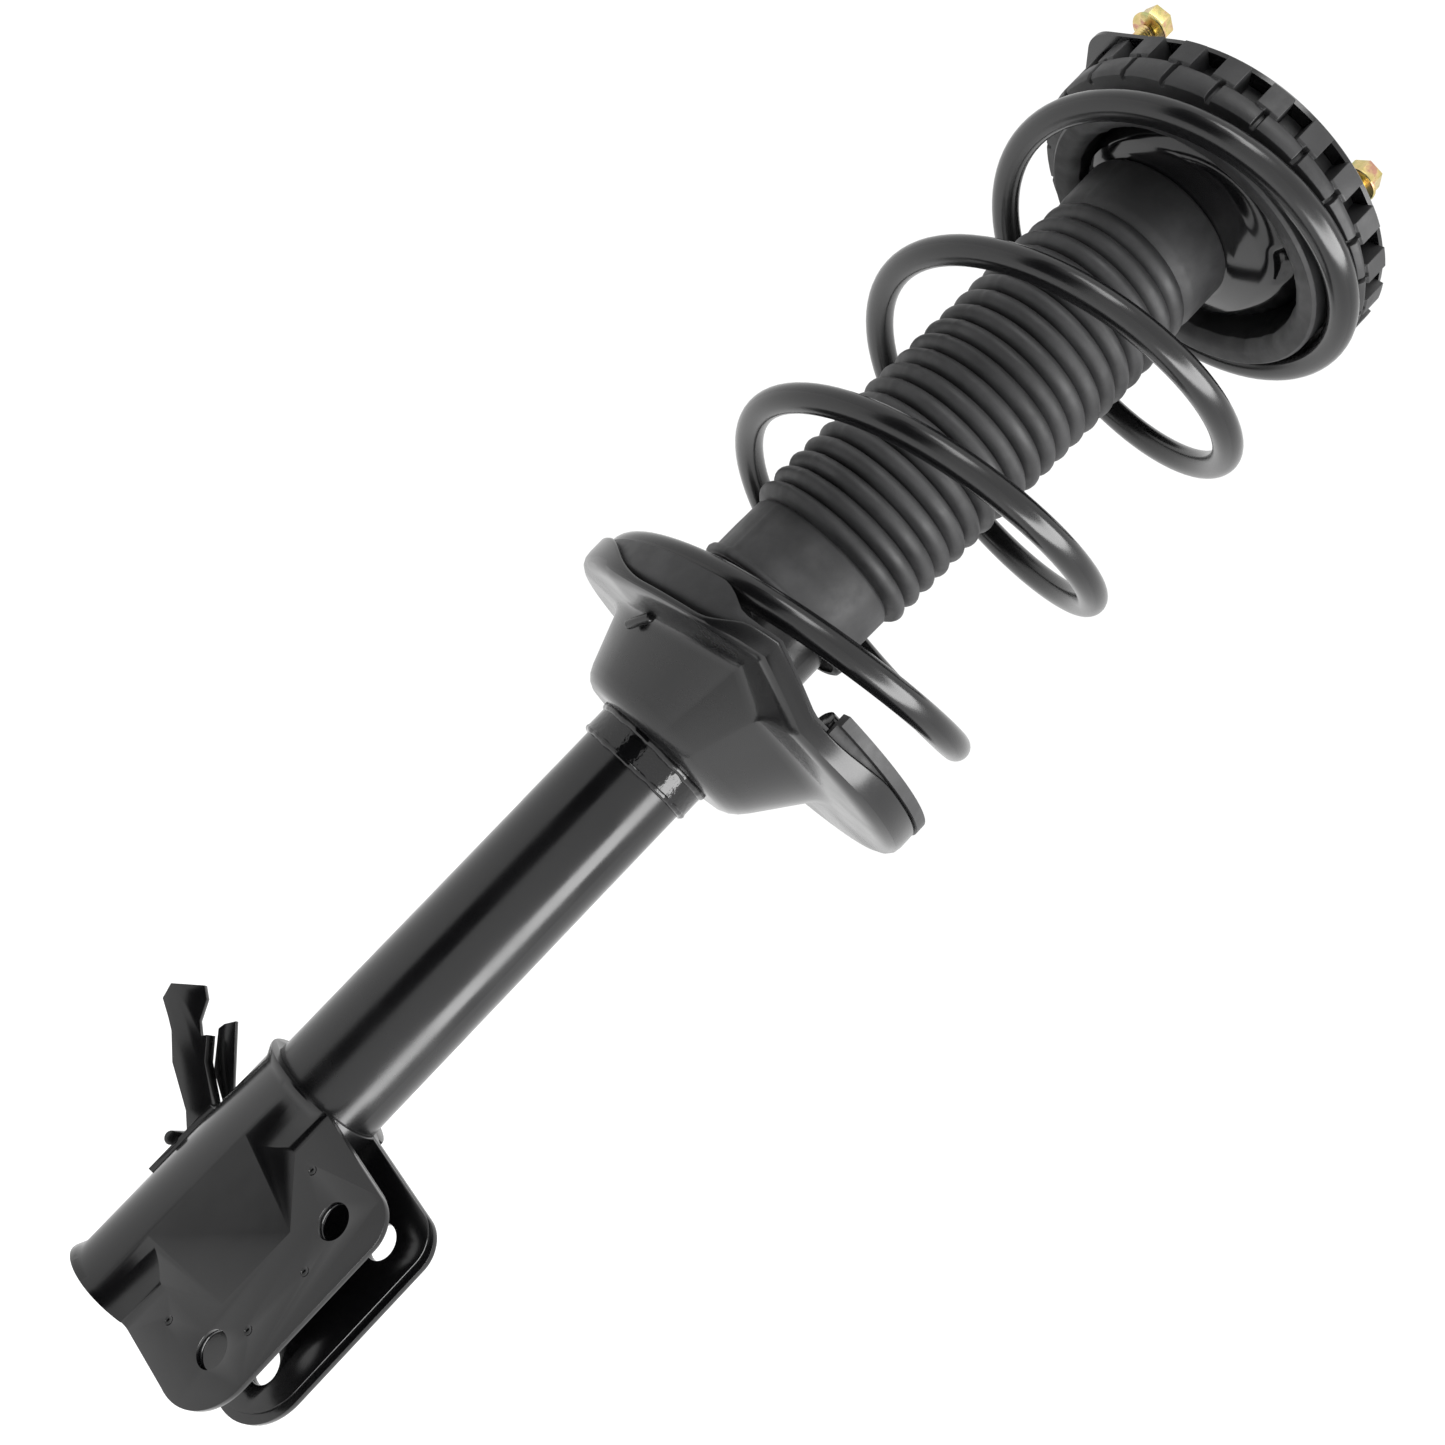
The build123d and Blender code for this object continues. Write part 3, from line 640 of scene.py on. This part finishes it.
@dataclass
class DustBoot:
    """The bellows between the top mount and the spring seat. Lengths in mm."""

    low: float = 346.0
    ribs_low: float = 378.0
    ribs: int = 20
    pitch: float = 9.1
    crest: float = 40.2
    root: float = 35.0
    skin: float = 1.6
    top: float = 585.5
    sleeve_r: float = 37.6
    cuff_r: float = 36.4
    lean: tuple[float, float] = (-3.6, -3.2)  # how far the free end hangs to one side
    keep: float = 0.72
    steps: int = 120
    parting: float = 262.0  # angle of the moulding's parting line

    def outline(self) -> list[tuple[float, float]]:
        """Returns the outside of the half section, from the bottom bead to the top sleeve."""
        path = [(37.0, self.low), (38.2, self.low + 0.8), (38.5, self.low + 2.2), (38.0, self.low + 3.6)]
        path += [(self.cuff_r, self.low + 5), (self.cuff_r, self.low + 16), (self.cuff_r, self.ribs_low - 2)]
        for rib in range(self.ribs):
            soft = 0.55 + 0.45 * ease(self.ribs - rib, 0.0, 4.0)
            for part in range(8):
                share = part / 8
                swell = sqrt(max(sin(pi * share), 0.0)) * soft
                radius = self.root + (self.crest - self.root) * swell
                path.append((radius, self.ribs_low + (rib + share) * self.pitch))
        brow = self.ribs_low + self.ribs * self.pitch
        path += [(self.root + 0.8, brow), (self.sleeve_r - 0.4, brow + 2.5), (self.sleeve_r, brow + 5)]
        path += [(self.sleeve_r, self.top - 1.0), (self.sleeve_r - 0.6, self.top)]
        return path

    def build(self) -> bpy.types.Object:
        """Spins the bellows with an inner wall, raises the parting line and leans the free end."""
        outer = self.outline()
        inner = [(r - self.skin, h) for r, h in reversed(outer)]
        bm = bmesh.new()
        spun(bm, outer + inner, self.steps)
        for vert in bm.verts:
            flat = Vector((vert.co.x, vert.co.y))
            height = vert.co.z / MM + PLATE_HEIGHT
            across = flat.to_3d().angle(point(1, PLATE_HEIGHT, self.parting), 0)
            radial = flat.normalized()
            if across < radians(1.6) and flat.length > (self.cuff_r - 0.8) * MM:
                vert.co.xy += radial * 0.45 * MM
            wobble = noise.noise(Vector((vert.co.x * 14, vert.co.y * 14, height * 0.05))) * 0.35
            vert.co.xy += radial * wobble * MM
            free = 1 - ease(height, self.low, self.top - 40)
            vert.co.xy += Vector(self.lean) * free * MM
        boot = piece_from(bm, "dust_boot_bellows", BOOT_RUBBER, 70)
        settle(boot, Body.TOP, Slot.BOOT, "dust_boot")
        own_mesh(boot)
        return boot


@dataclass
class UpperIsolator:
    """Castellated rubber ring under the top plate. Lengths in mm."""

    axis_x: float = 15.0
    bore: float = 56.5
    outer: float = 80.0
    gap_r: float = 70.6
    low: float = 590.0
    mid: float = 600.3
    top: float = 611.5
    teeth: int = 24
    tooth_share: float = 0.50
    slot_share: float = 0.11
    wire: SpringWire = field(default_factory=SpringWire)

    def section(self, angle: float, upper_r: float, lower_r: float) -> list[Vector]:
        """Returns the ring's section at an angle, given the radii of its upper and lower rows."""
        floor = self.low
        wound = 1440.0 + (angle % 360.0) - (360.0 if angle % 360.0 > 260.0 else 0.0)
        if wound < self.wire.end + 10:
            floor = max(floor, self.wire.reach(wound + 5.6) + 0.35)
        ragged = 0.9 * noise.noise(Vector((angle * 0.14, 0.0, 7.0)))
        corners = [
            (self.bore + ragged, self.top),
            (upper_r, self.top),
            (upper_r, self.mid + 1.0),
            (lower_r - 1.0, self.mid + 0.2),
            (lower_r, self.mid - 1.4),
            (lower_r, floor + 1.8),
            (lower_r - 1.2, floor),
            (69.2, floor),
            (68.9, 588.5),
            (68.9, 583.2),
            (67.7, 581.8),
            (62.0, 582.4),
            (59.5 + ragged, 583.6),
            (self.bore + 0.4 + ragged, 586.5),
        ]
        return [point(r, h, angle, self.axis_x) for r, h in corners]

    def build(self) -> bpy.types.Object:
        """Bridges the sections of teeth, gaps and slots round the ring and rounds their edges."""
        bm = bmesh.new()
        pitch = 360 / self.teeth
        tooth = pitch * self.tooth_share
        slot = pitch * self.slot_share
        slope = 0.35
        sections = []
        for index in range(self.teeth):
            start = index * pitch
            slot_low = start + (tooth - slot) / 2
            stations = [
                (start, self.outer, self.outer),
                (slot_low, self.outer, self.outer),
                (slot_low + slope, self.outer, self.outer - 2.6),
                (slot_low + slot, self.outer, self.outer - 2.6),
                (slot_low + slot + slope, self.outer, self.outer),
                (start + tooth, self.outer, self.outer),
                (start + tooth + slope, self.gap_r, self.outer),
                (start + pitch * 0.8, self.gap_r, self.outer),
                (start + pitch - slope, self.gap_r, self.outer),
            ]
            sections += [self.section(*station) for station in stations]
        joined_sections(bm, sections, True)
        ring = piece_from(bm, "upper_isolator_ring", ISOLATOR_RUBBER, 40)
        soft = ring.modifiers.new("mould_radius", "BEVEL")
        soft.width = 0.7 * MM
        soft.segments = 2
        soft.limit_method = "ANGLE"
        soft.angle_limit = radians(38)
        return settle(ring, Body.TOP, Slot.ISOLATOR, "upper_isolator")


@dataclass
class SpringSeat:
    """Deep-drawn bucket and spring pan, pressed from one sheet, with the pad in it. Lengths in mm."""

    sheet: float = 2.6
    hole_r: float = 25.5
    bucket_low: float = 271.0
    bucket_low_r: float = 41.0
    mouth_r: float = 58.0
    mouth_x: float = 8.0
    pan_x: float = 16.5
    pan_r: float = 87.15
    pan_height: float = 303.0
    rim: float = 14.0
    rim_line: tuple[tuple[float, float], ...] = (  # angle and height of the rim where it dips
        (240, 14.0),
        (270, 3.6),
        (288, 3.2),
        (301, 10.0),
        (332, 9.6),
        (358, 14.0),
    )
    hump_start: float = 256.0
    hump_peak: float = 307.5
    hump_end: float = 326.0
    hump_rise: float = 10.5
    wire: SpringWire = field(default_factory=SpringWire)

    def lift(self, angle: float) -> float:
        """Returns how far the pan's floor is raised at an angle."""
        turn = angle % 360
        if not self.hump_start < turn < self.hump_end:
            return 0.0
        if turn <= self.hump_peak:
            return self.hump_rise * ((turn - self.hump_start) / (self.hump_peak - self.hump_start)) ** 1.3
        return self.hump_rise * (self.hump_end - turn) / (self.hump_end - self.hump_peak)

    def rim_rise(self, angle: float) -> float:
        """Returns the rim's height above the pan's floor: it dips in front, where the pad shows."""
        turn = angle % 360
        rise = self.rim
        for (start, before), (end, after) in zip(self.rim_line, self.rim_line[1:]):
            if start <= turn < end:
                rise = before + (after - before) * ease(turn, start, end)
        return rise

    def section(self, angle: float) -> list[Vector]:
        """Returns the closed section of the sheet at an angle."""
        up = self.lift(angle)
        floor = self.pan_height + up
        top = floor + self.rim_rise(angle)
        t = self.sheet
        outside = rounded(
            [
                (self.hole_r, self.bucket_low, 0, 0),
                (self.bucket_low_r - 0.5, self.bucket_low, 0, 9),
                (self.mouth_r, floor, self.mouth_x, 5),
                (self.pan_r, floor, self.pan_x, 7.5),
                (self.pan_r, top - 0.6, self.pan_x, 0.6),
                (self.pan_r - 0.6, top, self.pan_x, 0),
            ]
        )
        inside = rounded(
            [
                (self.pan_r - t + 0.4, top, self.pan_x, 0),
                (self.pan_r - t, top - 0.5, self.pan_x, 0.5),
                (self.pan_r - t, floor + t, self.pan_x, 5),
                (self.mouth_r - 1.5, floor + t, self.mouth_x, 6),
                (self.bucket_low_r - t, self.bucket_low + t, 0, 6.5),
                (self.hole_r, self.bucket_low + t, 0, 0),
            ]
        )
        return [point(r, h, angle, cx) for r, h, cx in outside + inside]

    def build_pan(self) -> bpy.types.Object:
        """Bridges the sheet's sections into bucket and pan."""
        bm = bmesh.new()
        creases = [self.hump_peak, self.hump_peak + 0.6, self.hump_end + 0.6]
        stations = sorted([2.0 * k for k in range(180)] + creases)
        joined_sections(bm, [self.section(angle) for angle in stations], True)
        seat = piece_from(bm, "spring_seat_pressing", BLACK_PAINT, 28)
        return settle(seat, Body.HOUSING, Slot.PAINT, "seat_bucket", "spring_pan")

    def pad_section(self, angle: float) -> list[Vector]:
        """Returns the rubber pad's section at an angle: it fills the room between pan and wire."""
        floor = self.pan_height + self.sheet + self.lift(angle) + 0.05
        wound = angle if angle >= self.wire.start else angle + 360
        middle = self.wire.height(wound)
        bed = middle - self.wire.wire_r - 0.05
        bare = ease(angle, 286, 302)  # past here the wire has left the pad, which carries on over the step
        bed = bed * (1 - bare) + (floor + 2.5) * bare
        open_side = 1 - ease(angle, 92, 104)
        shown = ease(angle, 226, 240)  # past here the rim dips and the pad shows up to the wire
        crest = (self.pan_height + self.rim - 0.8) * (1 - shown) + (middle - 2.5) * shown
        crest = crest * (1 - bare) + (floor - self.sheet + self.rim_rise(angle) + 1.6) * bare
        crest = max(crest + (322.4 - crest) * open_side, bed + 3.5)
        wall = self.pan_r - self.sheet - 0.1
        flange = wall + 3.4 * open_side + 0.02
        brow = max(self.pan_height + self.rim + 0.4, bed + 1.5) if open_side > 0.5 else crest - 0.6
        shift = self.pan_x - self.wire.axis_x
        wire_out = self.wire.coil_r + self.wire.wire_r + 0.15
        near = wire_out - shift * cos(radians(angle))
        lip = min(near, wall - 0.15)
        corners = [
            (62.0, floor, self.pan_x),
            (self.pan_r - 8.0, floor, self.pan_x),
            (wall - 1.2, floor + 3.0, self.pan_x),
            (wall, floor + 5.5, self.pan_x),
            (wall, brow, self.pan_x),
            (flange, brow + 0.3, self.pan_x),
            (flange, crest, self.pan_x),
            (lip, crest, self.pan_x),
            (lip, bed + 3.4, self.pan_x),
            (self.wire.coil_r + 3.4, bed + 0.7, self.wire.axis_x),
            (self.wire.coil_r, bed, self.wire.axis_x),
            (self.wire.coil_r - 3.4, bed + 0.7, self.wire.axis_x),
            (self.wire.coil_r - self.wire.wire_r - 0.1, bed + 4.2, self.wire.axis_x),
            (self.wire.coil_r - self.wire.wire_r - 0.6, bed + 7.5, self.wire.axis_x),
            (66.5, bed + 7.5, self.wire.axis_x),
            (62.5, floor + 2.5, self.pan_x),
        ]
        return [point(r, h, angle, cx) for r, h, cx in corners]

    def build_pad(self) -> bpy.types.Object:
        """Bridges the pad's sections from the coil's end to the pan's step."""
        bm = bmesh.new()
        first, last = self.wire.start, 331.0
        steps = 170
        stations = [first + (last - first) * k / steps for k in range(steps + 1)]
        joined_sections(bm, [self.pad_section(angle) for angle in stations], False)
        pad = piece_from(bm, "lower_spring_pad", PAD_RUBBER, 38)
        return settle(pad, Body.HOUSING, Slot.ISOLATOR, "lower_insulator")

    def build_peg(self) -> bpy.types.Object:
        """Makes the round-ended peg that is welded under the pan, against the bucket."""
        bm = bmesh.new()
        foot = point(58.6, 296.5, -101, self.mouth_x - 1)
        head = point(62.0, 304.0, -91, self.mouth_x)
        radius = 2.1 * MM
        aim = (head - foot).to_track_quat("Z", "Y").to_matrix().to_4x4()
        stand = Matrix.Translation((foot + head) / 2) @ aim
        length = (head - foot).length
        bmesh.ops.create_cone(
            bm, cap_ends=True, segments=20, radius1=radius, radius2=radius, depth=length, matrix=stand
        )
        rims = [e for e in bm.edges if len(e.link_faces) == 2 and max(len(f.verts) for f in e.link_faces) > 4]
        bevelled(bm, rims, 0.9, 3)
        return settle(piece_from(bm, "seat_peg", BLACK_PAINT, 40), Body.HOUSING, Slot.PAINT)

    def build(self) -> None:
        """Makes the pressing, its pad, the peg under the pan and the welds on the tube."""
        self.build_pan()
        self.build_pad()
        self.build_peg()
        weld_bead("seat_weld_upper", 26.6, 270.2, 1.9, 1.1)
        weld_bead("seat_weld_lower", 26.2, 258.4, 1.4, 1.1)


@dataclass
class TopMount:
    """Studs, nuts and pressed cup of the top mount. Lengths in mm."""

    stud_circle: float = 63.5
    angles: tuple[float, ...] = (0.0, 120.0, 240.0)
    stud_r: float = 4.0
    thread_pitch: float = 1.25
    nut_low: float = 636.0
    flange_r: float = 8.7
    across_flats: float = 13.0
    cup_hole: float = 20.5
    cup_low: float = 578.0
    neck_r: float = 35.5
    bulge: tuple[float, float] = (587.0, 610.0)  # heights that the cup swells between
    mouth_r: float = 55.0
    mouth_x: float = 14.0
    cup_sheet: float = 2.0
    spatter: int = 26

    def build_studs(self) -> bpy.types.Object:
        """Spins the studs with their threads."""
        bm = bmesh.new()
        for angle in self.angles:
            neck = self.stud_r - 0.1
            path = [(0.0, 609.6), (6.4, 609.6), (7.0, 610.2), (7.0, 611.4), (neck, 611.5), (neck, 615.0)]
            height = 615.0
            while height < self.nut_low - 1.0:
                path += [(self.stud_r - 0.62, height + 0.35), (self.stud_r - 0.02, height + 0.95)]
                height += self.thread_pitch
            path += [(3.25, 636.0), (3.3, 640.6), (2.6, 641.6), (0.0, 641.9)]
            part = bmesh.new()
            spun(part, path, 28, closed=False)
            bmesh.ops.translate(part, vec=point(self.stud_circle, PLATE_HEIGHT, angle), verts=part.verts)
            append(bm, part)
        return settle(piece_from(bm, "mount_stud_set", YELLOW_ZINC, 40), Body.TOP, Slot.ZINC, "mount_studs")

    def build_nuts(self) -> bpy.types.Object:
        """Makes the flange nuts: a hexagon on a sloping flange, chamfered, with an open bore."""
        bm = bmesh.new()
        for index, angle in enumerate(self.angles):
            nut = bmesh.new()
            low = self.nut_low
            sloped = [
                (3.4, low),
                (self.flange_r - 0.4, low),
                (self.flange_r, low + 0.4),
                (self.flange_r - 0.1, low + 1.1),
                (6.3, low + 2.0),
                (3.4, low + 2.0),
            ]
            spun(nut, sloped, 40)
            corner_r = self.across_flats / sqrt(3) * MM
            body = bmesh.ops.create_cone(
                nut,
                cap_ends=True,
                segments=6,
                radius1=corner_r,
                radius2=corner_r,
                depth=6.6 * MM,
                matrix=Matrix.Translation((0, 0, (low + 4.7 - PLATE_HEIGHT) * MM)),
            )["verts"]
            crown = [f for f in nut.faces if len(f.verts) == 6 and all(v in body for v in f.verts)]
            crown = [f for f in crown if f.calc_center_median().z > (low + 7.0 - PLATE_HEIGHT) * MM]
            edges = list({e for f in crown for e in f.edges})
            bevelled(nut, edges, 0.8)
            top = [f for f in nut.faces if f.calc_center_median().z > (low + 7.95 - PLATE_HEIGHT) * MM]
            bmesh.ops.inset_region(nut, faces=top, thickness=1.9 * MM)
            bmesh.ops.inset_region(nut, faces=top, thickness=0.8 * MM, depth=-0.9 * MM)
            turn = Matrix.Rotation(radians(17 + 23 * index), 4, "Z")
            bmesh.ops.transform(nut, matrix=turn, verts=nut.verts)
            bmesh.ops.translate(nut, vec=point(self.stud_circle, PLATE_HEIGHT, angle), verts=nut.verts)
            append(bm, nut)
        return settle(piece_from(bm, "flange_nut_set", YELLOW_ZINC, 30), Body.TOP, Slot.ZINC, "stud_nuts")

    def cup_skin(self, angle: float, inset: float) -> list[tuple[float, float, float]]:
        """Returns (radius, height, centre x) up the cup's wall at an angle, taken in by inset."""
        low, high = self.bulge
        brow_r, brow_x = 39.0, 1.0  # where the neck turns out into the bulge
        neck = [
            (self.cup_hole, self.cup_low, 0, 0),
            (self.neck_r, self.cup_low, 0, 2.5),
            (self.neck_r, low - 1.5, 0, 2),
            (brow_r + 0.5, low, brow_x, 0),
        ]
        path = [(self.cup_hole, self.cup_low + inset, 0.0)]
        path += rounded(neck)[1:]
        rows = 26
        for row in range(1, rows + 1):
            h = low + (high - low) * row / rows
            swell = sqrt(1 - (1 - min((h - low + 1.0) / (high - low + 1.0), 1.0)) ** 2.6)
            r = brow_r + (self.mouth_r - brow_r) * swell
            cx = brow_x + (self.mouth_x - brow_x) * swell
            spot = point(r, h, angle, cx) / MM
            path.append((r - self.pocket(spot.y, h), h, cx))
        path.append((self.mouth_r, high + 1.4, self.mouth_x))
        return [(r - inset, h + (inset if h < low - 1 else 0.0), cx) for r, h, cx in path]

    @staticmethod
    def pocket(across: float, height: float) -> float:
        """Returns the depth of the three-cornered pocket pressed into the cup, in mm."""
        corner_y, corner_h = -6.0, 589.5
        width, tall, depth = 20.0, 12.0, 3.2
        along = (across - corner_y) / width
        up = (height - corner_h) / tall
        if not (0 < along < 1 and 0 < up < 1):
            return 0.0
        edges = (along, up, 1.0 - 0.75 * along - 0.6 * up)
        return depth * ease(min(edges), 0.0, 0.30)

    def build_cup(self) -> bpy.types.Object:
        """Bridges the drawn cup's sections, with the pocket pressed in on the spring's side."""
        bm = bmesh.new()
        sections = []
        for angle in [2.0 * k for k in range(180)]:
            outer = self.cup_skin(angle, 0.0)
            inner = list(reversed(self.cup_skin(angle, self.cup_sheet)))
            sections.append([point(r, h, angle, cx) for r, h, cx in outer + inner])
        joined_sections(bm, sections, True)
        return settle(piece_from(bm, "mount_cup_pressing", CUP_PAINT, 34), Body.TOP, Slot.PAINT, "mount_cup")

    def build_spatter(self) -> bpy.types.Object:
        """Scatters painted-over weld spatter where the cup's neck meets its bulge."""
        bm = bmesh.new()
        low = self.bulge[0] + 0.4
        for k in range(self.spatter):
            angle = -62 + 40 * (0.5 + 0.5 * noise.noise(Vector((k * 7.3, 1.0, 0.0))))
            h = low + 1.6 * abs(noise.noise(Vector((k * 3.1, 5.0, 0.0))))
            size = (0.35 + 0.9 * abs(noise.noise(Vector((k * 5.7, 9.0, 0.0))))) * MM
            place = Matrix.Translation(point(37.5 + 1.6 * (h - low), h - 0.3, angle, 0.8))
            bmesh.ops.create_icosphere(bm, subdivisions=2, radius=size, matrix=place)
        return settle(piece_from(bm, "cup_weld_spatter", CUP_PAINT, 60), Body.TOP, Slot.PAINT)

    def build(self) -> None:
        """Makes the studs, nuts and cup and dresses the plate and rubber."""
        self.build_studs()
        self.build_nuts()
        dress_node("top_plate", BLACK_PAINT)
        self.build_cup()
        self.build_spatter()
        dress_node("mount_rubber", ISOLATOR_RUBBER)


@dataclass
class KnuckleEnd:
    """Clevis bracket, its brace and the small brackets on its back. Lengths in mm."""

    plate_edge: float = 0.55
    brace_edge: float = 0.4
    hose_edge: float = 0.5
    tab_edge: float = 0.4

    def build(self) -> None:
        """Softens the pressed parts' edges."""
        for node, slot, width in (
            ("knuckle_bracket", Slot.BRACKET, self.plate_edge),
            ("bracket_brace", Slot.BRACKET, self.brace_edge),
            ("hose_bracket", Slot.PAINT, self.hose_edge),
            ("wire_tab", Slot.PAINT, self.tab_edge),
        ):
            settle(softened_copy(f"{node}_pressing", node, BRACKET_PAINT, width), Body.HOUSING, slot, node)


@dataclass
class DamperBody:
    """Tube, rod and everything inside them, which keep their CAD shapes."""

    finishes: dict[str, Finish] = field(
        default_factory=lambda: {
            "strut_tube": BLACK_PAINT,
            "base_cap": BLACK_PAINT,
            "seat_collar": WELD_PAINT,
            "tube_cap": BLACK_PAINT,
            "base_valve": SINTERED_IRON,
            "pressure_tube": DRAWN_STEEL,
            "rod_guide": SINTERED_IRON,
            "guide_bush": LINED_BRONZE,
            "rod_seal": ISOLATOR_RUBBER,
            "piston_rod": HARD_CHROME,
            "mount_sleeve": CLEAR_ZINC,
            "shoulder_washer": CLEAR_ZINC,
            "rod_washer": CLEAR_ZINC,
            "rod_nut": CLEAR_ZINC,
            "bump_stop": BUMP_FOAM,
            "bump_stop_cup": DRAWN_STEEL,
            "rebound_stop": ISOLATOR_RUBBER,
            "piston": SINTERED_IRON,
            "piston_band": FILLED_PTFE,
            "piston_shims": DRAWN_STEEL,
            "piston_nut": DRAWN_STEEL,
        }
    )

    def dress(self) -> None:
        """Gives each carried-over node its finish."""
        for node, finish in self.finishes.items():
            dress_node(node, finish)


# ---------------------------------------------------------------- studio


@dataclass
class Studio:
    """White studio: floor, soft lights, dark flags for the paint to mirror, and the camera. Lengths in m."""

    floor_z: float = -1.5
    lens: float = 37.73
    eye: tuple[float, float, float] = (0.42140, -0.46508, -0.37902)
    azimuth: float = 41.07
    elevation: float = 5.79
    roll: float = 43.7

    def build_floor(self) -> None:
        """Lays a plain pale floor."""
        bm = bmesh.new()
        bmesh.ops.create_grid(bm, x_segments=1, y_segments=1, size=30)
        bmesh.ops.translate(bm, vec=(0, 0, self.floor_z), verts=bm.verts)
        mesh = bpy.data.meshes.new("studio_floor")
        bm.to_mesh(mesh)
        bm.free()
        floor = bpy.data.objects.new("studio_floor", mesh)
        bpy.context.scene.collection.objects.link(floor)
        white = bpy.data.materials.new("white_studio_sweep")
        white.use_nodes = True
        shader = white.node_tree.nodes["Principled BSDF"]
        shader.inputs["Base Color"].default_value = linear("#f6f6f6")
        shader.inputs["Roughness"].default_value = 0.9
        shader.inputs["Specular IOR Level"].default_value = 0.0
        shader.inputs["Emission Color"].default_value = (1, 1, 1, 1)
        shader.inputs["Emission Strength"].default_value = 0.25
        mesh.materials.append(white)

    def build_light(
        self, name: str, place: tuple[float, float, float], size: tuple[float, float], watts: float
    ) -> None:
        """Hangs a rectangular soft light that faces the strut's middle."""
        data = bpy.data.lights.new(name, "AREA")
        data.shape = "RECTANGLE"
        data.size, data.size_y = size
        data.energy = watts
        lamp = bpy.data.objects.new(name, data)
        lamp.location = place
        lamp.rotation_euler = (Vector((0, 0, -0.3)) - lamp.location).to_track_quat("-Z", "Y").to_euler()
        lamp.visible_camera = False
        bpy.context.scene.collection.objects.link(lamp)

    def build_flag(self, name: str, place: tuple[float, float, float], size: tuple[float, float]) -> None:
        """Stands a black flag, unseen by the camera, whose reflection gives the paint its dark bands."""
        bm = bmesh.new()
        bmesh.ops.create_grid(bm, x_segments=1, y_segments=1, size=0.5)
        aim = (Vector((0, 0, -0.3)) - Vector(place)).to_track_quat("-Z", "Y").to_matrix().to_4x4()
        scale = Matrix.Diagonal((*size, 1, 1))
        bmesh.ops.transform(bm, matrix=Matrix.Translation(place) @ aim @ scale, verts=bm.verts)
        mesh = bpy.data.meshes.new(name)
        bm.to_mesh(mesh)
        bm.free()
        flag = bpy.data.objects.new(name, mesh)
        bpy.context.scene.collection.objects.link(flag)
        cloth = bpy.data.materials.get("black_flag_cloth") or bpy.data.materials.new("black_flag_cloth")
        cloth.use_nodes = True
        shader = cloth.node_tree.nodes["Principled BSDF"]
        shader.inputs["Base Color"].default_value = linear("#050505")
        shader.inputs["Roughness"].default_value = 1.0
        shader.inputs["Specular IOR Level"].default_value = 0.0
        mesh.materials.append(cloth)
        flag.visible_camera = False
        flag.visible_shadow = False

    def build_camera(self) -> None:
        """Sets the camera: low, looking slightly up, rolled so that the strut lies diagonally."""
        data = bpy.data.cameras.new("camera")
        data.lens = self.lens
        data.sensor_width = 36.0
        camera = bpy.data.objects.new("camera", data)
        turn, rise = radians(self.azimuth), radians(self.elevation)
        ahead = Vector((-sin(turn) * cos(rise), cos(turn) * cos(rise), sin(rise)))
        camera.rotation_mode = "QUATERNION"
        camera.rotation_quaternion = ahead.to_track_quat("-Z", "Y") @ Quaternion((0, 0, 1), radians(self.roll))
        camera.location = self.eye
        bpy.context.scene.collection.objects.link(camera)
        bpy.context.scene.camera = camera

    def build(self) -> None:
        """Sets floor, world, lights, flags and camera."""
        scene = bpy.context.scene
        scene.view_settings.view_transform = "Standard"
        world = bpy.data.worlds.new("white_studio")
        world.use_nodes = True
        backdrop = world.node_tree.nodes["Background"]
        backdrop.inputs["Color"].default_value = (1, 1, 1, 1)
        backdrop.inputs["Strength"].default_value = 1.05
        scene.world = world
        self.build_floor()
        self.build_light("strip_right", (1.0, 0.25, -0.2), (0.42, 1.6), 20)
        self.build_light("key_soft", (0.6, -1.2, 0.6), (0.7, 0.7), 10)
        self.build_flag("flag_front", (0.25, -1.3, -0.3), (0.85, 2.2))
        self.build_camera()


def main() -> None:
    """Builds the strut from the ground up, then the studio round it."""
    logging.basicConfig(level=logging.INFO, format="%(name)s %(message)s")
    KnuckleEnd().build()
    DamperBody().dress()
    SpringSeat().build()
    SpringWire().build()
    DustBoot().build()
    UpperIsolator().build()
    TopMount().build()
    Studio().build()


if __name__ == "__main__":
    main()
